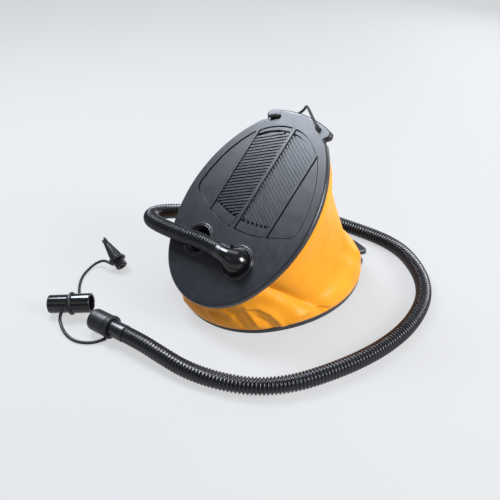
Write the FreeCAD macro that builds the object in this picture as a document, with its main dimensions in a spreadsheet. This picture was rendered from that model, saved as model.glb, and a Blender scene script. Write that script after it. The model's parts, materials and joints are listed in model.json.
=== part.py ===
import FreeCAD
import Part
import math
import os

# Foot air pump: two congruent egg-shaped plates, hinged at their broad end inside a fabric bellows.
# Frame: origin at the middle of the base plate's underside, +X to the outlet side, +Y from the
# hinge end to the tab end, +Z up. Millimetres. The pedal plate stands open on its return spring.
# A plate has a frame of its own: u across, v from hinge end to tab end, z up from its underside.

doc = FreeCAD.newDocument("foot_air_pump")
sheet = doc.addObject("Spreadsheet::Sheet", "sizes")

DRIVING_SIZES = {
    # plates
    "plate_height": 8.0,
    "broad_radius": 102.0,
    "broad_centre": -60.0,
    "side_radius": 182.5,
    "nose_radius": 54.0,
    "nose_centre": 92.0,
    "floor_thickness": 3.0,
    "panel_thickness": 2.5,
    "tread_depth": 3.9,
    "rib_height": 2.8,
    "rib_pitch": 5.3,
    "rib_width": 3.2,
    "strip_height": 2.5,
    "island_height": 2.5,
    "rim_radius": 3.0,
    "cord_hole_radius": 2.2,
    # hinge and opening
    "closed_height": 68.0,
    "hinge_y": -144.0,
    "hinge_z": 30.0,
    "open_angle": 44.2,
    "hinge_pin_radius": 2.0,
    "hinge_clearance": 0.05,
    "lug_radius": 6.0,
    "lug_outer_span": 52.0,
    "lug_inner_span": 36.0,
    "knuckle_outer_span": 35.0,
    "knuckle_inner_span": 20.0,
    # bellows and its clamps
    "fabric_thickness": 0.8,
    "bellows_inset": 3.0,
    "bellows_nose_end": 126.0,
    "clamp_outer_inset": 4.5,
    "clamp_inner_inset": 10.5,
    "clamp_height": 3.0,
    "screw_count": 12.0,
    "screw_radius": 1.5,
    "screw_head_radius": 2.8,
    "screw_head_height": 1.8,
    # return spring
    "spring_place": 10.0,
    "spring_radius": 22.0,
    "spring_wire_radius": 1.6,
    "spring_turns": 9.0,
    "spring_cup_radius": 29.0,
    "spring_cup_wall": 2.0,
    "spring_cup_height": 5.0,
    # ports
    "port_side": 41.5,
    "port_place": -84.0,
    "collar_radius": 25.5,
    "collar_height": 2.4,
    "socket_radius": 20.2,
    "bore_radius": 17.6,
    "socket_depth": 30.0,
    "seat_thickness": 2.0,
    "seat_hole_radius": 12.0,
    "flap_radius": 14.5,
    "flap_thickness": 1.2,
    # hose and its fittings
    "hose_radius": 11.5,
    "hose_bore_radius": 9.6,
    "hose_lift": 17.0,
    "cuff_radius": 11.9,
    "cuff_length": 12.0,
    "end_cuff_length": 30.0,
    "cup_radius": 15.5,
    "cup_bore_radius": 13.05,
    "cup_length": 31.0,
    "strap_ring_radius": 16.6,
    "adapter_radius": 14.0,
    "adapter_bore_radius": 11.0,
    "adapter_length": 62.0,
    "nozzle_length": 58.0,
    "nozzle_base_radius": 9.0,
    "lower_strap_radius": 2.3,
    "upper_strap_radius": 2.1,
    "elastic_radius": 1.9,
}

for row, (alias, value) in enumerate(DRIVING_SIZES.items(), start=1):
    cell = "B%d" % row
    sheet.set("A%d" % row, alias)
    sheet.set(cell, str(value))
    sheet.setAlias(cell, alias)
doc.recompute()


def size(alias):
    """A driving dimension, read from the sheet."""
    return float(sheet.get(alias))


PLATE_HEIGHT = size("plate_height")
OPEN = math.radians(size("open_angle"))
HINGE_Y = size("hinge_y")
HINGE_Z = size("hinge_z")
PORT_SIDE = size("port_side")
PORT_PLACE = size("port_place")
FABRIC = size("fabric_thickness")
X_AXIS = FreeCAD.Vector(1, 0, 0)
Z_AXIS = FreeCAD.Vector(0, 0, 1)
ORIGIN = FreeCAD.Vector(0, 0, 0)


# ---- the plates' frames ----------------------------------------------------------------------

def pedal_placement():
    """The pedal plate's own frame, opened about the hinge from lying parallel over the base."""
    underside = size("closed_height") - PLATE_HEIGHT
    down = underside - HINGE_Z
    origin = FreeCAD.Vector(
        0,
        HINGE_Y - HINGE_Y * math.cos(OPEN) - down * math.sin(OPEN),
        HINGE_Z - HINGE_Y * math.sin(OPEN) + down * math.cos(OPEN),
    )
    return FreeCAD.Placement(origin, FreeCAD.Rotation(X_AXIS, math.degrees(OPEN)))


PEDAL = pedal_placement()
BASE = FreeCAD.Placement()


def pedal_local(across, along, above_top=0.0):
    """A place in the pedal plate's frame, its height counted from the plate's top face."""
    return FreeCAD.Vector(across, along, PLATE_HEIGHT + above_top)


# ---- outlines ---------------------------------------------------------------------------------

def egg_dimensions(inset=0.0, nose_end=None):
    """Radii and centres of an egg: a broad arc, two long side arcs and a nose arc, all tangent.

    Without nose_end the nose arc is the plate's own. With it, the nose arc is the one that is
    tangent to the inset side arcs and ends at that place."""
    broad_y = size("broad_centre")
    side_r = size("side_radius")
    to_broad = side_r - size("broad_radius")
    to_nose = side_r - size("nose_radius")
    nose_y = size("nose_centre")
    between = nose_y - broad_y
    side_y = (to_broad ** 2 - to_nose ** 2 - broad_y ** 2 + nose_y ** 2) / (2 * between)
    side_x = math.sqrt(to_broad ** 2 - (side_y - broad_y) ** 2)
    egg = {
        "broad_r": size("broad_radius") - inset,
        "broad_y": broad_y,
        "side_r": side_r - inset,
        "side_x": side_x,
        "side_y": side_y,
        "nose_r": size("nose_radius") - inset,
        "nose_y": nose_y,
    }
    if nose_end is not None:
        rise = nose_end - side_y
        reach = egg["side_r"]
        nose_r = (reach ** 2 - side_x ** 2 - rise ** 2) / (2 * (reach - rise))
        egg["nose_r"] = nose_r
        egg["nose_y"] = nose_end - nose_r
    return egg


def arc(centre_x, centre_y, radius, start, end):
    """A counter-clockwise arc in the XY plane."""
    circle = Part.Circle(FreeCAD.Vector(centre_x, centre_y, 0), Z_AXIS, radius)
    return Part.ArcOfCircle(circle, start, end)


def egg_angles(egg):
    """Where the side arcs meet the broad arc and the nose arc, seen from the right side arc."""
    low = math.atan2(egg["broad_y"] - egg["side_y"], egg["side_x"])
    high = math.atan2(egg["nose_y"] - egg["side_y"], egg["side_x"])
    return low, high


def egg_outline(egg):
    """The egg as four tangent arcs."""
    low, high = egg_angles(egg)
    return [
        arc(0, egg["broad_y"], egg["broad_r"], math.pi - low, 2 * math.pi + low),
        arc(-egg["side_x"], egg["side_y"], egg["side_r"], low, high),
        arc(0, egg["nose_y"], egg["nose_r"], high, math.pi - high),
        arc(egg["side_x"], egg["side_y"], egg["side_r"], math.pi - high, math.pi - low),
    ]


def bellows_egg(inset=0.0):
    """The line where the bellows meets a plate, clear of the notches beside the tab."""
    end = size("bellows_nose_end")
    start = egg_dimensions(size("bellows_inset"), end)
    start["broad_r"] -= inset
    start["side_r"] -= inset
    start["nose_r"] -= inset
    return start


def line(start, end):
    return Part.LineSegment(FreeCAD.Vector(*start, 0), FreeCAD.Vector(*end, 0))


def closed_lines(points):
    """A closed polygon as sketch lines."""
    return [line(a, b) for a, b in zip(points, points[1:] + points[:1])]


# Where each plate leaves the egg, the corners of its shoulder and tab from there on, and how far
# the tab reaches on the middle line.
OUTLINES = {
    "pedal_plate": (111.5, [(53.0, 115.5), (61.5, 121.0), (58.5, 129.5)], 139.5),
    "base_plate": (107.0, [(59.5, 121.5), (41.5, 131.0), (46.5, 148.0)], 156.0),
}
# The radius at each of those corners, the first for where the outline leaves the egg.
CORNER_RADII = {
    "pedal_plate": [3.5, 2.0, 5.0, 5.0],
    "base_plate": [6.0, 5.0, 2.0, 5.0],
}


def leaving_point(label):
    """Where a plate's outline leaves the egg."""
    egg = egg_dimensions()
    place = OUTLINES[label][0]
    across = math.sqrt(egg["side_r"] ** 2 - (place - egg["side_y"]) ** 2)
    return (across - egg["side_x"], place)


def plate_outline(label):
    """The egg with its nose replaced by a crescent tab between two notches."""
    egg = egg_dimensions()
    low = egg_angles(egg)[0]
    place, corners, tab_end = OUTLINES[label]
    turn = math.asin((place - egg["side_y"]) / egg["side_r"])
    right = [leaving_point(label)] + corners
    left = [(-x, y) for x, y in reversed(right)]
    crown = Part.Arc(
        FreeCAD.Vector(*right[-1], 0),
        FreeCAD.Vector(0, tab_end, 0),
        FreeCAD.Vector(*left[0], 0),
    )
    return (
        [arc(0, egg["broad_y"], egg["broad_r"], math.pi - low, 2 * math.pi + low)]
        + [arc(-egg["side_x"], egg["side_y"], egg["side_r"], low, turn)]
        + [line(a, b) for a, b in zip(right, right[1:])]
        + [crown]
        + [line(a, b) for a, b in zip(left, left[1:])]
        + [arc(egg["side_x"], egg["side_y"], egg["side_r"], math.pi - turn, math.pi - low)]
    )


def circle(x, y, radius):
    return Part.Circle(FreeCAD.Vector(x, y, 0), Z_AXIS, radius)


def place_along(edges, distance):
    """The point at a distance along a row of edges."""
    for edge in edges:
        if distance <= edge.Length:
            return edge.valueAt(edge.getParameterByLength(distance))
        distance -= edge.Length
    return edges[-1].valueAt(edges[-1].LastParameter)


def screw_places():
    """Evenly spaced places along the middle of the clamp ring, the same on both sides."""
    egg = bellows_egg((size("clamp_outer_inset") + size("clamp_inner_inset")) / 2)
    low, high = egg_angles(egg)
    half = [
        arc(0, egg["broad_y"], egg["broad_r"], 1.5 * math.pi, 2 * math.pi + low).toShape(),
        arc(-egg["side_x"], egg["side_y"], egg["side_r"], low, high).toShape(),
        arc(0, egg["nose_y"], egg["nose_r"], high, math.pi / 2).toShape(),
    ]
    on_side = int(size("screw_count")) // 2
    pitch = sum(edge.Length for edge in half) / on_side
    right = [place_along(half, (number + 0.5) * pitch) for number in range(on_side)]
    return [(side * p.x, p.y) for side in (-1, 1) for p in right]


# ---- features ---------------------------------------------------------------------------------

def new_body(label):
    body = doc.addObject("PartDesign::Body", label)
    body.Label = label
    return body


def new_sketch(body, name, geometry, role="XY_Plane", height=0.0):
    """A sketch on one of the body's own origin planes, at a height above it."""
    sketch = body.newObject("Sketcher::SketchObject", name)
    plane = [f for f in body.Origin.OriginFeatures if f.Role == role][0]
    sketch.AttachmentSupport = [(plane, "")]
    sketch.MapMode = "FlatFace"
    sketch.AttachmentOffset = FreeCAD.Placement(FreeCAD.Vector(0, 0, height), FreeCAD.Rotation())
    sketch.addGeometry(geometry, False)
    return sketch


def feature(body, kind, name, sketch, length, reverse=False, midplane=False):
    """A pad or pocket whose length is an expression of the sheet."""
    made = body.newObject("PartDesign::" + kind, name)
    made.Profile = sketch
    made.setExpression("Length", length)
    made.Reversed = reverse
    made.Midplane = midplane
    sketch.Visibility = False
    before = body.Shape.Volume if not body.Shape.isNull() else 0.0
    doc.recompute()
    grown = made.Shape.Volume - before
    if kind == "Pad" and grown <= 0 or kind == "Pocket" and grown >= 0:
        raise ValueError("%s %s changed the volume by %g" % (kind, name, grown))
    return made


def pad(body, name, geometry, length, height=0.0, role="XY_Plane", **how):
    sketch = new_sketch(body, name + "_sketch", geometry, role, height)
    return feature(body, "Pad", name, sketch, length, **how)


def pocket(body, name, geometry, length, height=0.0, role="XY_Plane", **how):
    sketch = new_sketch(body, name + "_sketch", geometry, role, height)
    return feature(body, "Pocket", name, sketch, length, **how)


def revolved(label, profile, placement):
    """A body turned about its own Z axis from a closed profile of (radius, height) points."""
    body = new_body(label)
    sketch = new_sketch(body, label + "_sketch", closed_lines(profile), "XZ_Plane")
    turned = body.newObject("PartDesign::Revolution", label + "_turned")
    turned.Profile = sketch
    turned.ReferenceAxis = (sketch, ["V_Axis"])
    turned.Angle = 360
    sketch.Visibility = False
    body.Placement = placement
    doc.recompute()
    return body


def round_upright_edges(body, name, places, radius):
    """Rounds the upright edges of the body that stand at the given places."""
    found = []
    rounded = body.Tip
    for number, edge in enumerate(rounded.Shape.Edges, start=1):
        a, b = edge.Vertexes[0].Point, edge.Vertexes[-1].Point
        upright = abs(a.x - b.x) < 0.01 and abs(a.y - b.y) < 0.01 and abs(a.z - b.z) > 1
        if upright and any(math.hypot(abs(a.x) - x, a.y - y) < 0.5 for x, y in places):
            found.append("Edge%d" % number)
    made = body.newObject("PartDesign::Fillet", name)
    made.Base = (rounded, found)
    made.Radius = radius
    doc.recompute()
    return made


def round_edges_at(body, name, height, radius):
    """Rounds every edge of the body that lies at one height."""
    rounded = body.Tip
    found = [
        "Edge%d" % number
        for number, edge in enumerate(rounded.Shape.Edges, start=1)
        if abs(edge.BoundBox.ZMin - height) < 0.01 and abs(edge.BoundBox.ZMax - height) < 0.01
    ]
    made = body.newObject("PartDesign::Fillet", name)
    made.Base = (rounded, found)
    made.setExpression("Radius", radius)
    doc.recompute()
    return made


def solid_feature(label, shape, placement=None):
    """A part whose shape is worked out with Part's own functions."""
    made = doc.addObject("Part::Feature", label)
    made.Label = label
    made.Shape = shape
    if placement is not None:
        made.Placement = placement
    return made


def pointing(place, direction):
    """A placement whose Z axis points along direction."""
    return FreeCAD.Placement(place, FreeCAD.Rotation(Z_AXIS, direction))


# ---- plates -----------------------------------------------------------------------------------

LUG_FOOT_WIDTH = 18.0
LUG_FOOT_CLEARANCE = 0.6
LUG_FOOT_HEIGHT = 13.0


def hinge_web(foot_z):
    """Outline of a hinge lug in the YZ plane: a round eye, and a foot that clears the clamp ring."""
    radius = size("lug_radius")
    side = 1 if foot_z > HINGE_Z else -1
    foot_near = HINGE_Y + LUG_FOOT_CLEARANCE
    foot_far = foot_near + LUG_FOOT_WIDTH
    knee = foot_z - side * LUG_FOOT_HEIGHT
    eye = Part.Arc(
        FreeCAD.Vector(HINGE_Y - radius, HINGE_Z, 0),
        FreeCAD.Vector(HINGE_Y, HINGE_Z - side * radius, 0),
        FreeCAD.Vector(HINGE_Y + radius, HINGE_Z, 0),
    )
    return [
        eye,
        line((HINGE_Y + radius, HINGE_Z), (foot_far, foot_z)),
        line((foot_far, foot_z), (foot_near, foot_z)),
        line((foot_near, foot_z), (foot_near, knee)),
        line((foot_near, knee), (HINGE_Y - radius, HINGE_Z)),
    ]


def add_hinge_lugs(body, foot_z, hinge_z, outer, inner, hole_radius):
    """Two lugs astride the middle, bored for the hinge pin."""
    shift = hinge_z - HINGE_Z
    web = hinge_web(foot_z - shift)
    for g in web:
        g.translate(FreeCAD.Vector(0, shift, 0))
    pad(body, "lugs", web, outer, role="YZ_Plane", midplane=True)
    reach = size("lug_radius") + 1.0
    near = HINGE_Y - reach
    far = HINGE_Y + LUG_FOOT_WIDTH + reach
    end = hinge_z - reach if foot_z > hinge_z else hinge_z + reach
    gap = closed_lines([(near, foot_z), (far, foot_z), (far, end), (near, end)])
    pocket(body, "lug_gap", gap, inner, role="YZ_Plane", midplane=True)
    hole = [circle(HINGE_Y, hinge_z, hole_radius)]
    pocket(body, "pin_hole", hole, outer + " + 10", role="YZ_Plane", midplane=True)


def add_screw_holes(body, height):
    holes = [circle(x, y, size("screw_radius")) for x, y in screw_places()]
    pocket(body, "screw_holes", holes, "sizes.plate_height - sizes.floor_thickness", height=height)


def spring_ring():
    radius = size("spring_cup_radius")
    place = size("spring_place")
    return [circle(0, place, radius), circle(0, place, radius - size("spring_cup_wall"))]


CORD_HOLE = (37.0, 125.5)


def cord_holes():
    return [circle(side * CORD_HOLE[0], CORD_HOLE[1], size("cord_hole_radius")) for side in (-1, 1)]


def plate_blank(label):
    """A plate's outline with its corners and its upper rim rounded."""
    body = new_body(label)
    pad(body, "blank", plate_outline(label), "sizes.plate_height")
    corners = [leaving_point(label)] + OUTLINES[label][1]
    for number, (corner, radius) in enumerate(zip(corners, CORNER_RADII[label]), start=1):
        round_upright_edges(body, "round_corner_%d" % number, [corner], radius)
    round_edges_at(body, "round_rim", PLATE_HEIGHT, "sizes.rim_radius")
    return body


def make_base_plate():
    body = plate_blank("base_plate")
    depth = "sizes.plate_height - sizes.floor_thickness"
    inner = egg_outline(bellows_egg(size("clamp_inner_inset") + 1.0))
    pocket(body, "tray", inner, depth, height=PLATE_HEIGHT)
    pad(body, "spring_cup", spring_ring(), "sizes.spring_cup_height", height=size("floor_thickness"))
    add_hinge_lugs(
        body,
        size("floor_thickness"),
        HINGE_Z,
        "sizes.lug_outer_span",
        "sizes.lug_inner_span",
        size("hinge_pin_radius"),
    )
    add_screw_holes(body, PLATE_HEIGHT)
    pocket(body, "cord_holes", cord_holes(), "sizes.plate_height", height=PLATE_HEIGHT)
    return body


LANE_INNER = 2.6
LANE_OUTER = 54.8
PANEL_INNER = 59.3
TREAD_INSET = 14.0
TREAD_FOOT_RADIUS = 190.0
TREAD_FOOT = -47.0
CHEVRON_FOOT = -31.0
TREAD_CROWN_RADIUS = 82.5
TREAD_CROWN = 116.0
CHEVRON_SLOPE = 0.53
EDGE_GROOVE = 1.6
SHORTEST_RIB = 4.0
PANEL_CORNER_RADIUS = 14.0
PANEL_FOOT_REACH = 90.0
CROWN_STRIP = 6.5


def arc_height(across, radius, place, up):
    """Height at a distance from the middle of an arc that crosses the middle line at place."""
    drop = radius - math.sqrt(radius ** 2 - across ** 2)
    return place + drop if up else place - drop


def foot_arc(place):
    """Height of an arc across the lanes' foot, as a function of the distance from the middle."""
    return lambda x: arc_height(x, TREAD_FOOT_RADIUS, place, True)


def crown_arc(place):
    return lambda x: arc_height(x, TREAD_CROWN_RADIUS, place, False)


def lane_strip(side, low, high, margin=0.0):
    """A stretch of one of the two middle lanes of the tread, between two arcs."""
    inner = LANE_INNER + margin
    outer = LANE_OUTER - margin
    middle = (inner + outer) / 2
    return [
        Part.Arc(*[FreeCAD.Vector(side * x, low(x), 0) for x in (inner, middle, outer)]),
        line((side * outer, low(outer)), (side * outer, high(outer))),
        Part.Arc(*[FreeCAD.Vector(side * x, high(x), 0) for x in (outer, middle, inner)]),
        line((side * inner, high(inner)), (side * inner, low(inner))),
    ]


def lane_outline(side):
    return lane_strip(side, foot_arc(TREAD_FOOT), crown_arc(TREAD_CROWN))


def lane_foot_strip(side):
    """The plain raised strip below the ribs, parted from the lane's edges by a groove."""
    low = foot_arc(TREAD_FOOT + EDGE_GROOVE)
    high = foot_arc(CHEVRON_FOOT - EDGE_GROOVE)
    return lane_strip(side, low, high, EDGE_GROOVE)


def lane_crown_strip(side):
    """The plain raised strip above the ribs."""
    low = crown_arc(TREAD_CROWN - CROWN_STRIP)
    high = crown_arc(TREAD_CROWN - EDGE_GROOVE)
    return lane_strip(side, low, high, EDGE_GROOVE)


def side_panel_outline(side, margin=0.0):
    """A plain panel outside the lanes, following the plate's edge, with a round lower corner."""
    egg = egg_dimensions(TREAD_INSET + margin)
    radius = PANEL_CORNER_RADIUS - margin
    inner = PANEL_INNER + margin
    centre = FreeCAD.Vector(-egg["side_x"], egg["side_y"], 0)
    foot = [
        FreeCAD.Vector(x, arc_height(x, TREAD_FOOT_RADIUS, TREAD_FOOT + margin, True), 0)
        for x in (PANEL_INNER, PANEL_FOOT_REACH)
    ]
    along = (foot[1] - foot[0]).normalize()
    up = FreeCAD.Vector(-along.y, along.x, 0)
    start = foot[0] + up * radius - centre
    reach = egg["side_r"] - radius
    slide = -start.dot(along) + math.sqrt(start.dot(along) ** 2 - start.dot(start) + reach ** 2)
    corner = centre + start + along * slide
    on_foot = corner - up * radius
    on_edge = centre + (corner - centre) * (egg["side_r"] / reach)
    on_corner = corner + ((on_foot + on_edge) / 2 - corner).normalize() * radius
    top = math.acos((inner + egg["side_x"]) / egg["side_r"])
    low = math.asin((on_edge.y - egg["side_y"]) / egg["side_r"])
    edge = [
        centre + FreeCAD.Vector(math.cos(t), math.sin(t), 0) * egg["side_r"]
        for t in (low, (low + top) / 2, top)
    ]
    inner_foot = foot[0] + along * ((inner - PANEL_INNER) / along.x)

    def place(p):
        return FreeCAD.Vector(side * p.x, p.y, 0)

    return [
        Part.Arc(place(edge[0]), place(edge[1]), place(edge[2])),
        Part.LineSegment(place(edge[2]), place(inner_foot)),
        Part.LineSegment(place(inner_foot), place(on_foot)),
        Part.Arc(place(on_foot), place(on_corner), place(edge[0])),
    ]


def chevron_ribs(side):
    """Slanting ribs across one lane, each clipped by the lane's foot and crown."""
    margin = 0.6
    step = 0.5
    half = size("rib_width") / 2
    foot = foot_arc(CHEVRON_FOOT)
    crown = crown_arc(TREAD_CROWN - CROWN_STRIP - EDGE_GROOVE)
    ribs = []
    start = CHEVRON_FOOT - CHEVRON_SLOPE * LANE_OUTER
    count = int((TREAD_CROWN - start + CHEVRON_SLOPE * LANE_OUTER) / size("rib_pitch"))
    for number in range(count):
        at_middle = start + number * size("rib_pitch") + CHEVRON_SLOPE * LANE_OUTER
        run = []
        longest = []
        x = LANE_INNER + margin
        while x <= LANE_OUTER - margin:
            y = at_middle - CHEVRON_SLOPE * x
            fits = y - half > foot(x) and y + half < crown(x)
            run = run + [(x, y)] if fits else []
            longest = max(longest, run, key=len)
            x += step
        if len(longest) < SHORTEST_RIB / step:
            continue
        (x0, y0), (x1, y1) = longest[0], longest[-1]
        corners = [(x0, y0 - half), (x1, y1 - half), (x1, y1 + half), (x0, y0 + half)]
        ribs += closed_lines([(side * px, py) for px, py in corners])
    return ribs


def make_pedal_plate():
    body = plate_blank("pedal_plate")
    inner = egg_outline(bellows_egg(size("clamp_inner_inset") + 1.0))
    hollow = "sizes.plate_height - sizes.tread_depth - sizes.panel_thickness"
    pocket(body, "underside", inner, hollow, reverse=True)
    for side in (-1, 1):
        word = "left" if side < 0 else "right"
        pocket(body, word + "_lane", lane_outline(side), "sizes.tread_depth", height=PLATE_HEIGHT)
        pocket(body, word + "_panel", side_panel_outline(side), "sizes.tread_depth", height=PLATE_HEIGHT)
        floor = PLATE_HEIGHT - size("tread_depth")
        pad(body, word + "_ribs", chevron_ribs(side), "sizes.rib_height", height=floor)
        pad(body, word + "_foot_strip", lane_foot_strip(side), "sizes.strip_height", height=floor)
        pad(body, word + "_crown_strip", lane_crown_strip(side), "sizes.strip_height", height=floor)
        island = side_panel_outline(side, EDGE_GROOVE)
        pad(body, word + "_island", island, "sizes.island_height", height=floor)
    ports = [circle(side * PORT_SIDE, PORT_PLACE, size("socket_radius")) for side in (-1, 1)]
    pocket(body, "port_holes", ports, "sizes.plate_height", height=PLATE_HEIGHT)
    underside = size("plate_height") - size("tread_depth") - size("panel_thickness")
    pad(
        body,
        "spring_cup",
        spring_ring(),
        "sizes.spring_cup_height",
        height=underside,
        reverse=True,
    )
    hinge_z = HINGE_Z - (size("closed_height") - PLATE_HEIGHT)
    add_hinge_lugs(
        body,
        underside,
        hinge_z,
        "sizes.knuckle_outer_span",
        "sizes.knuckle_inner_span",
        size("hinge_pin_radius") + size("hinge_clearance"),
    )
    holes = [circle(x, y, size("screw_radius")) for x, y in screw_places()]
    pocket(body, "screw_holes", holes, "sizes.plate_height - sizes.tread_depth - 1", reverse=True)
    pocket(body, "cord_holes", cord_holes(), "sizes.plate_height", height=PLATE_HEIGHT)
    body.Placement = PEDAL
    return body


# ---- hinge pin --------------------------------------------------------------------------------

def make_hinge_pin():
    """A headed pin along X through both plates' lugs, with a retaining clip on its plain end."""
    half = size("lug_outer_span") / 2
    head_height = 1.6
    tail = 3.0
    radius = size("hinge_pin_radius")
    head_radius = radius * 1.8
    groove = (half + 0.4, half + 1.4)
    floor = radius - 0.5
    profile = [
        (0, -half - head_height),
        (head_radius, -half - head_height),
        (head_radius, -half),
        (radius, -half),
        (radius, groove[0]),
        (floor, groove[0]),
        (floor, groove[1]),
        (radius, groove[1]),
        (radius, half + tail),
        (0, half + tail),
    ]
    axis = pointing(FreeCAD.Vector(0, HINGE_Y, HINGE_Z), X_AXIS)
    revolved("hinge_pin", profile, axis)
    clip = [(floor, groove[0]), (head_radius, groove[0]), (head_radius, groove[1]), (floor, groove[1])]
    revolved("hinge_pin_clip", clip, axis)


# ---- bellows, clamps and screws -----------------------------------------------------------------

def egg_wire(egg, placement):
    wire = Part.Wire([g.toShape() for g in egg_outline(egg)])
    wire.Placement = placement
    return wire


def raised(placement, height):
    """The same placement, moved along its own Z axis."""
    return placement.multiply(FreeCAD.Placement(FreeCAD.Vector(0, 0, height), FreeCAD.Rotation()))


def fabric_flange(placement, height):
    """The turned-in hem of the bellows, pierced for the screws, lying on a plate."""
    thick = FreeCAD.Vector(0, 0, FABRIC)
    outer = Part.Wire([g.toShape() for g in egg_outline(bellows_egg(FABRIC / 2))])
    inner = Part.Wire([g.toShape() for g in egg_outline(bellows_egg(size("clamp_inner_inset")))])
    hem = Part.Face(outer).extrude(thick).cut(Part.Face(inner).extrude(thick))
    reach = 4 * FABRIC
    for x, y in screw_places():
        place = FreeCAD.Vector(x, y, -FABRIC)
        hem = hem.cut(Part.makeCylinder(size("screw_radius") + 0.4, reach, place))
    hem.Placement = raised(placement, height)
    return hem


def make_bellows():
    """A thin wall between the two plates, with a hem on each: the fabric drawn tight."""
    low = raised(BASE, PLATE_HEIGHT)
    outer = Part.makeLoft([egg_wire(bellows_egg(), low), egg_wire(bellows_egg(), PEDAL)], True, True)
    inner = Part.makeLoft([egg_wire(bellows_egg(FABRIC), low), egg_wire(bellows_egg(FABRIC), PEDAL)], True, True)
    wall = outer.cut(inner)
    cloth = wall.fuse([fabric_flange(BASE, PLATE_HEIGHT), fabric_flange(PEDAL, -FABRIC)])
    solid_feature("bellows", cloth.removeSplitter())


def make_clamp_ring(label, placement, height):
    body = new_body(label)
    holes = [circle(x, y, size("screw_radius")) for x, y in screw_places()]
    edges = egg_outline(bellows_egg(size("clamp_outer_inset")))
    edges += egg_outline(bellows_egg(size("clamp_inner_inset")))
    pad(body, label + "_ring", edges + holes, "sizes.clamp_height")
    body.Placement = raised(placement, height)


def make_screws(label, placement, height, depth, up):
    """Pan-head screws through the clamp ring: one solid each, as one group. Heads point up."""
    radius = size("screw_radius")
    head = size("screw_head_height")
    screws = []
    for x, y in screw_places():
        place = FreeCAD.Vector(x, y, 0)
        shank = Part.makeCylinder(radius, depth, place, -up)
        cap = Part.makeCylinder(size("screw_head_radius"), head, place, up)
        screws.append(shank.fuse(cap).removeSplitter())
    group = Part.makeCompound(screws)
    solid_feature(label, group, raised(placement, height))


def make_clamps():
    ring = size("clamp_height")
    into_base = PLATE_HEIGHT - size("floor_thickness") - 1.0
    stack = ring + FABRIC
    make_clamp_ring("lower_clamp_ring", BASE, PLATE_HEIGHT + FABRIC)
    make_screws("lower_clamp_screws", BASE, PLATE_HEIGHT + stack, stack + into_base, Z_AXIS)
    make_clamp_ring("upper_clamp_ring", PEDAL, -stack)
    into_pedal = PLATE_HEIGHT - size("tread_depth") - 1.5
    make_screws("upper_clamp_screws", PEDAL, -stack, stack + into_pedal, -Z_AXIS)


# ---- return spring ------------------------------------------------------------------------------

def make_return_spring():
    """A coil spring between the two spring cups, drawn straight from seat to seat."""
    place = size("spring_place")
    lower = FreeCAD.Vector(0, place, size("floor_thickness"))
    underside = PLATE_HEIGHT - size("tread_depth") - size("panel_thickness")
    upper = PEDAL.multVec(FreeCAD.Vector(0, place, underside))
    run = upper - lower
    direction = FreeCAD.Vector(run)
    direction.normalize()
    wire = size("spring_wire_radius")
    radius = size("spring_radius")
    seat_gap = 1.2
    lean = (radius + wire) * math.sin(OPEN / 2) + wire + seat_gap
    height = run.Length - 2 * lean
    coil = Part.makeHelix(height / size("spring_turns"), height, radius)
    circle_of_wire = Part.Circle(FreeCAD.Vector(radius, 0, 0), FreeCAD.Vector(0, 1, 0), wire)
    section = Part.Wire([circle_of_wire.toShape()])
    spring = Part.Wire(coil).makePipeShell([section], True, True)
    seat = lower + direction * lean
    solid_feature("return_spring", spring, pointing(seat, direction))


# ---- ports and their valves -----------------------------------------------------------------------

def make_socket(label, side):
    """A collared socket through the pedal plate, with a valve seat at its inner end."""
    collar = size("collar_radius")
    rise = size("collar_height")
    outer = size("socket_radius")
    bore = size("bore_radius")
    depth = size("socket_depth")
    seat = size("seat_thickness")
    hole = size("seat_hole_radius")
    mouth = bore + 2.4
    profile = [
        (collar, 0),
        (collar, rise * 0.5),
        (collar - 1.2, rise),
        (mouth + 1.8, rise),
        (mouth + 1.2, rise * 0.3),
        (mouth, rise * 0.3),
        (mouth, -1.2),
        (bore, -3.6),
        (bore, seat - depth),
        (hole, seat - depth),
        (hole, -depth),
        (outer, -depth),
        (outer, 0),
    ]
    place = pedal_local(side * PORT_SIDE, PORT_PLACE)
    frame = PEDAL.multiply(FreeCAD.Placement(place, FreeCAD.Rotation()))
    revolved(label, profile, frame)


def flat_disc(label, place, radius, near, far):
    """A disc cut along two chords: the part of it between near and far along the plate."""
    disc = doc.addObject("Part::Cylinder", label + "_disc")
    disc.setExpression("Radius", radius)
    disc.setExpression("Height", "sizes.flap_thickness")
    block = doc.addObject("Part::Box", label + "_block")
    block.setExpression("Length", "2 * (%s)" % radius)
    block.Width = far - near
    block.setExpression("Height", "sizes.flap_thickness")
    block.setExpression("Placement.Base.x", "-(%s)" % radius)
    block.Placement.Base.y = near
    made = doc.addObject("Part::Common", label)
    made.Label = label
    made.Base = disc
    made.Tool = block
    made.Placement = PEDAL.multiply(FreeCAD.Placement(place, FreeCAD.Rotation()))
    return made


FLAP_GAP = 0.9
FLAP_CUT = 1.0


def make_valve(word, side, height):
    """A rubber flap over the seat, and the strip beside it that holds its edge."""
    edge = FLAP_CUT - size("flap_radius")
    bore = size("bore_radius")
    place = pedal_local(side * PORT_SIDE, PORT_PLACE, height)
    flat_disc(word + "_flap", place, "sizes.flap_radius", edge, bore)
    flat_disc(word + "_flap_strip", place, "sizes.bore_radius - 0.2", -bore, edge - FLAP_GAP)


def make_ports():
    make_socket("inlet_socket", -1)
    make_socket("outlet_socket", 1)
    depth = size("socket_depth")
    make_valve("inlet", -1, -depth - size("flap_thickness"))
    make_valve("outlet", 1, size("seat_thickness") - depth)


# ---- elbow ------------------------------------------------------------------------------------

ELBOW_BEND = 12.0
ELBOW_FOOT = -6.0
SPOUT_RADIUS = 9.5
SPOUT_LENGTH = 10.0


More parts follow.
